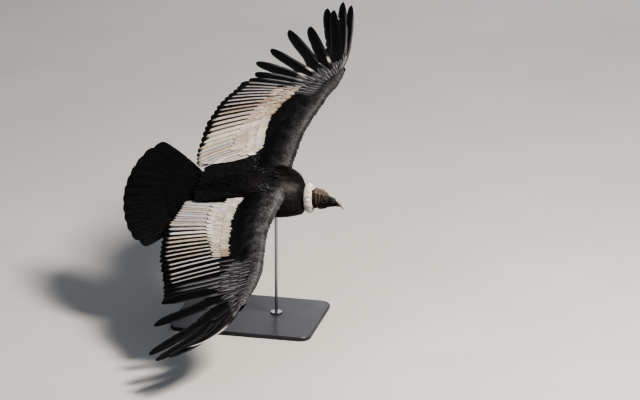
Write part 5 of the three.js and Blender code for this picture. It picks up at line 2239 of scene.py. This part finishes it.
@dataclass(frozen=True)
class Bill:
    """The horn of the bill: a hooked upper half over a shorter lower one."""

    ridge: tuple[tuple[float, float], ...] = (
        (94, 18.5), (108, 18), (120, 12.5), (136, 4), (148, -8), (155, -22), (155.5, -39)
    )
    depth: Profile = Profile((0, 32), (0.3, 27), (0.55, 25), (0.72, 23), (0.88, 17), (0.96, 11), (1, 5.5))
    width: Profile = Profile((0, 12), (0.3, 10.5), (0.6, 9.5), (0.8, 7.8), (0.92, 6), (1, 2.8))

    def upper(self) -> Array:
        """Rings of the upper half from inside the face to the point of the hook.

        Returns:
            (rings, points, 3) places in the head's frame.
        """
        t = np.linspace(0, 1, 40)
        shares = np.linspace(0, 1, len(self.ridge))
        rx = Profile(*zip(shares, [p[0] for p in self.ridge]), tension=0.5)(t)
        rz = Profile(*zip(shares, [p[1] for p in self.ridge]), tension=0.5)(t)
        lean = np.radians(12 + 78 * smooth(t, 0.25, 0.96))
        across, down = self.outline(28)
        drop = down[None] * self.depth(t)[:, None]
        wave = 1 + 0.05 * np.sin(t * 16)[:, None] * (down > 0.7)
        return np.stack(
            [
                rx[:, None] - drop * np.sin(lean)[:, None] * wave,
                across[None] * self.width(t)[:, None] * 0.93,
                rz[:, None] - drop * np.cos(lean)[:, None] * wave,
            ],
            -1,
        )

    def outline(self, count: int) -> tuple[Array, Array]:
        """A section that is round over the ridge and narrows to two cutting edges.

        Args:
            count: points round it.
        Returns:
            Shares across and down.
        """
        u = full_turn(count) + np.pi / count
        across, down = np.cos(u), 0.5 - 0.5 * np.sin(u)
        return np.sign(across) * np.abs(across) ** 0.7 * lerp(1, 0.72, down**2), down**0.85

    def lower(self) -> Array:
        """Rings of the lower half, which closes inside the upper.

        Returns:
            (rings, points, 3) places in the head's frame.
        """
        t = np.linspace(0, 1, 22)[:, None]
        u = full_turn(20)[None] + np.pi / 20
        x = lerp(96, 143, t)
        top = lerp(-10.8, -17, t)
        depth = lerp(14, 6.4, t)
        wide = lerp(12.2, 3.6, t**1.3)
        down = 0.5 - 0.5 * np.sin(u)
        return np.stack(
            np.broadcast_arrays(
                x, np.sign(np.cos(u)) * np.abs(np.cos(u)) ** 0.8 * wide * lerp(1, 0.7, down),
                top - down * depth,
            ),
            -1,
        )

    def build(self, finish: Material) -> list[Object]:
        """The two halves as pieces.

        Args:
            finish: their material.
        Returns:
            The pieces.
        """
        umber, bone, ivory = linear("#352d28"), linear("#b9b3a8"), linear("#dcd9d2")
        pieces = []
        for name, rings in (("upper", self.upper()), ("lower", self.lower())):
            rows, ring = rings.shape[:2]
            piece = meshed(
                f"bill_horn_{name}", carried(carried(rings.reshape(-1, 3), HEAD_IN_BIRD), BIRD),
                ring_quads(rows, ring),
                finish, crease=70,
            )
            p = rings.reshape(-1, 3)
            ridge = smooth(p[:, 2] + 0.9 * (p[:, 0] - 108), 8, 17) if name == "upper" else np.zeros(len(p))
            tip = smooth(p[:, 0], 116, 138)
            tones = mixed(umber, bone, np.clip(ridge + tip, 0, 1))
            toned(piece, mixed(tones, ivory, smooth(p[:, 0], 134, 150)))
            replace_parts(piece, f"bill_{name}")
            pieces.append(piece)
        return pieces


@dataclass(frozen=True)
class Eyes:
    """The two eyes under their lids, a little smaller than their hollows and turned forward."""

    head: Head
    slack: float = 0.4
    turn_deg: float = 14.0

    def build(self, finish: Material) -> list[Object]:
        """A ball for each side, with the iris mapped from its axis.

        Args:
            finish: their material.
        Returns:
            The pieces.
        """
        pieces = []
        for side in Side:
            sign = side.value
            away = np.linspace(0.02, np.pi - 0.02, 36)[:, None]
            turn = full_turn(48)[None]
            bulge = 1 + 0.05 * (1 - smooth(away, 0.3, 0.75))
            ball = np.sin(away) * np.cos(turn), sign * np.cos(away) * bulge, np.sin(away) * np.sin(turn)
            local = np.stack(np.broadcast_arrays(*ball), -1)
            centre = np.array(self.head.eye_at) * [1, sign, 1]
            aim = np.array(turned(-self.turn_deg * sign, "Z").to_3x3())
            points = carried(
                local.reshape(-1, 3) @ aim.T * (self.head.eye_radius - self.slack) + centre, HEAD_IN_BIRD
            )
            name = f"eyeball_{side.word}"
            piece = meshed(name, carried(points, BIRD), ring_quads(36, 48), finish, crease=180)
            if signed_volume(piece.data) < 0:
                piece.data.flip_normals()
            corners = np.empty(len(piece.data.loops), np.int32)
            piece.data.loops.foreach_get("vertex_index", corners)
            mapped(piece, "Iris", np.stack([(corners % 48) / 48, (corners // 48) / 35], -1))
            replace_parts(piece, f"eye_{side.word}")
            pieces.append(piece)
        return pieces


@dataclass(frozen=True)
class Toe:
    """One toe: length, turn from straight back, how far it hangs and radius, in mm and degrees."""

    length: float
    spread: float
    drop: float
    radius: float


@dataclass(frozen=True)
class Foot:
    """A scaled foot trailing under the tail, with its claws."""

    side: Side
    ankle: tuple[float, float, float] = (-232.0, 52.0, -132.0)
    sole: tuple[float, float, float] = (-345.0, 46.0, -112.0)
    toes: tuple[Toe, ...] = (Toe(78, -16, 6, 8), Toe(102, 0, 2, 8.5), Toe(74, 15, 5, 8))
    hind: Toe = Toe(34, 26, 12, 7)
    hind_step: tuple[float, float, float] = (14.0, 0.0, -8.0)

    def mirrored(self, p: Array) -> Array:
        """A point of the left foot on this foot's side."""
        return p * np.array([1, self.side.value, 1])

    def scaled(self, limb: Limb, rings: int, pitch: float, size: float) -> Array:
        """Rings of a limb with raised bands of scale along its upper side.

        Args:
            limb: the form.
            rings: how many.
            pitch: mm from band to band.
            size: how far a scale stands out.
        Returns:
            (rings, points, 3) places.
        """
        t, turn = grid(np.linspace(0, 1, rings), 24)
        band = (t * limb.length / pitch) % 1
        plate = size * (1 - (2 * band - 1) ** 6) * smooth(np.sin(turn), -0.2, 0.4)
        return limb.point(t, turn, plate)

    def digit(self, start: Array, toe: Toe) -> tuple[Array, Array]:
        """Rings of a toe and of its claw.

        Args:
            start: where it leaves the foot.
            toe: its sizes.
        Returns:
            Both, as (rings, points, 3) places.
        """
        a = math.radians(toe.spread)

        def at(share: float, z: float) -> Array:
            """A point at a share of the toe's length."""
            step = np.array([-toe.length * share * math.cos(a), toe.length * share * math.sin(a), z])
            return self.mirrored(start + step)

        shares = ((0, 1), (0.3, 0.86), (0.55, 0.84), (0.8, 0.66), (1, 0.6))
        knuckles = Profile(*((share, toe.radius * part) for share, part in shares))
        line = [at(0, 0), at(0.35, toe.drop * 0.6), at(0.7, 0), at(1, -toe.drop)]
        skin = self.scaled(Limb(line, knuckles, knuckles), 84, 4.5, 1.1)
        hook = ((0.94, 1), (1.1, 0), (1.22, -4), (1.29, -10))
        wide, deep = Profile((0, 5), (0.5, 3.6), (1, 0.6)), Profile((0, 5.6), (0.5, 4.2), (1, 0.7))
        claw = Limb([at(share, -toe.drop + rise) for share, rise in hook], wide, deep)
        return skin, claw.point(*grid(np.linspace(0, 1, 18), 16))

    def build(self, skin: Material, horn: Material) -> list[Object]:
        """The foot's skin and its claws as two pieces.

        Args:
            skin: the scales' material.
            horn: the claws' material.
        Returns:
            The two pieces.
        """
        ankle, sole = np.array(self.ankle), np.array(self.sole)
        shank = Limb(
            [self.mirrored(point) for point in (ankle, (ankle + sole) / 2, sole)],
            Profile((0, 13), (0.15, 10.5), (0.8, 9.5), (1, 11)),
            Profile((0, 14), (0.15, 11.5), (0.8, 10), (1, 10.5)),
        )
        digits = [self.digit(sole, toe) for toe in self.toes]
        digits.append(self.digit(sole + self.hind_step, self.hind))
        scales = [self.scaled(shank, 120, 6.5, 1.5), *[d[0] for d in digits]]
        grey, dust, black = linear("#5b5651"), linear("#8e877d"), linear("#1d1a19")
        pieces = []
        for name, forms, finish, low, high in (
            ("foot_skin", scales, skin, grey, dust),
            ("claws", [d[1] for d in digits], horn, black, grey),
        ):
            pile = Pile()
            for rings in forms:
                rows, ring = rings.shape[:2]
                points = rings.reshape(1, -1, 3)
                tone = mixed(low, high, 0.35 + 0.3 * Speckle(7, 16)(points))
                pile.add(
                    points, ring_quads(rows, ring), tone, points[..., :2] * MM,
                    ring_corners(rows, ring)[None],
                )
            pieces.append(pile.build(f"{name}_{self.side.word}", finish, "scaled_skin", crease=60))
        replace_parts(pieces[0], f"foot_{self.side.word}")
        return pieces


@dataclass(frozen=True)
class Stand:
    """The plain display stand, whose solids keep their shape."""

    base: str = "stand_base"
    rods: tuple[str, ...] = ("stand_rod_front", "stand_rod_rear")

    def dress(self) -> None:
        """Give the base its paint and the rods their steel."""
        paint, steel = STAND_PAINT.build(), STAND_STEEL.build()
        for name in (self.base, *self.rods):
            finish = paint if name == self.base else steel
            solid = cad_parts[name]
            for slot in solid.material_slots:
                slot.material = finish
            log.info("%s: keeps its solid", name)


@dataclass(frozen=True)
class Studio:
    """Floor, lights and the camera at the photograph's angle."""

    azimuth: float = 13.0
    elevation: float = 20.0
    pixels_per_metre: float = 190.0
    image_width: float = 640.0
    lens: float = 300.0
    sensor: float = 36.0
    bird_pixel: tuple[float, float] = (250.0, 191.0)
    centre_pixel: tuple[float, float] = (320.0, 200.0)
    floor_half: float = 120.0

    def axes(self) -> tuple[Vector, Vector, Vector]:
        """Right, up and back of the camera.

        Returns:
            The three directions.
        """
        a, e = math.radians(self.azimuth), math.radians(self.elevation)
        right = Vector((math.cos(a), math.sin(a), 0))
        up = Vector((-math.sin(a) * math.sin(e), math.cos(a) * math.sin(e), math.cos(e)))
        return right, up, right.cross(up)

    def camera(self) -> None:
        """Set up a long lens that frames the bird as the photograph does."""
        right, up, back = self.axes()
        shift = [(c - b) / self.pixels_per_metre for c, b in zip(self.centre_pixel, self.bird_pixel)]
        target = Vector((0, 0, FLIGHT_HEIGHT)) + right * shift[0] - up * shift[1]
        distance = self.lens / self.sensor * self.image_width / self.pixels_per_metre
        data = bpy.data.cameras.new("camera")
        data.lens, data.sensor_width = self.lens, self.sensor
        data.clip_start, data.clip_end = 1.0, 500.0
        facing = Matrix((right, up, back)).transposed().to_4x4()
        camera = placed("camera", data)
        camera.matrix_world = Matrix.Translation(target + back * distance) @ facing
        bpy.context.scene.camera = camera

    def lamp(self, name: str, way: Vector, distance: float, size: float, watts: float, colour: str) -> None:
        """Add a square soft lamp that looks at the bird from a direction.

        Args:
            name: its name.
            way: where it stands, seen from the bird.
            distance: metres away.
            size: its side in metres.
            watts: its power.
            colour: sRGB hex.
        """
        data = bpy.data.lights.new(name, "AREA")
        data.size, data.energy = size, watts
        data.color = tuple(linear(colour))
        lamp = placed(name, data)
        aim = Vector((0, 0, FLIGHT_HEIGHT))
        lamp.location = aim + way.normalized() * distance
        lamp.rotation_euler = way.to_track_quat("Z", "Y").to_euler()
        lamp.visible_camera = False

    def build(self) -> None:
        """Make the stage."""
        mesh = bpy.data.meshes.new("floor")
        half = self.floor_half
        corners = [(-half, -half, 0), (half, -half, 0), (half, half, 0), (-half, half, 0)]
        mesh.from_pydata(corners, [], [(0, 1, 2, 3)])
        mesh.materials.append(PAPER.build())
        placed("floor", mesh)
        right, _, back = self.axes()
        self.lamp("key", right * 0.75 + Vector((0, 0, 1)) + back * 0.45, 7, 1.8, 720, "#fff5ea")
        self.lamp("fill", right * -0.9 + Vector((0, 0, 0.7)) + back * 0.8, 9, 5.0, 70, "#e8f0ff")
        self.lamp("rim", right * 0.2 + Vector((0, 0, 0.6)) - back * 1.0, 9, 4.0, 110, "#f4f6ff")
        world = bpy.data.worlds.new("studio")
        bpy.context.scene.world = world
        world.use_nodes = True
        world.node_tree.nodes["Background"].inputs[0].default_value = rgba("#e6e9ee")
        world.node_tree.nodes["Background"].inputs[1].default_value = 0.18
        self.camera()
        bpy.context.scene.view_settings.look = "AgX - High Contrast"


def main() -> None:
    """Build the condor's pieces in order."""
    logging.basicConfig(level=logging.INFO, format="%(name)s %(message)s")
    Studio().build()
    vane, soft, skin = VANE.build(), SOFT_VANE.build(), BARE_SKIN.build()
    plumage = [WingPlumage(LEFT_WING), WingPlumage(RIGHT_WING)]
    for cover in plumage:
        word = cover.pose.side.word
        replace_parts(cover.flight(vane), f"wing_{word}_hand")
        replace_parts(cover.coverts(soft), f"wing_{word}_arm")
    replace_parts(Tail().build(vane)[0], "tail")
    wide = Profile((0, 46), (0.4, 40), (0.8, 22), (1, 13))
    deep = Profile((0, 52), (0.4, 42), (0.8, 24), (1, 14))
    legs = [
        Limb(
            [(-30, k * 50, -80), (-105, k * 62, -122), (-180, k * 60, -140), (-238, k * 52, -132)], wide,
            deep,
        )
        for k in (1, -1)
    ]
    coat = BodyCoat()
    coat.build(soft, plumage)
    coat.thighs(soft, legs)
    Ruff().build(WHITE_DOWN.build())
    head = Head()
    Skin(head, [cover.wing for cover in plumage], legs).build(skin)
    Bill().build(BILL_HORN.build())
    Eyes(head).build(EYE.build())
    scales, claws = LEG_SCALES.build(), CLAW_HORN.build()
    for side in Side:
        Foot(side).build(scales, claws)
    Stand().dress()


if __name__ == "__main__":
    main()
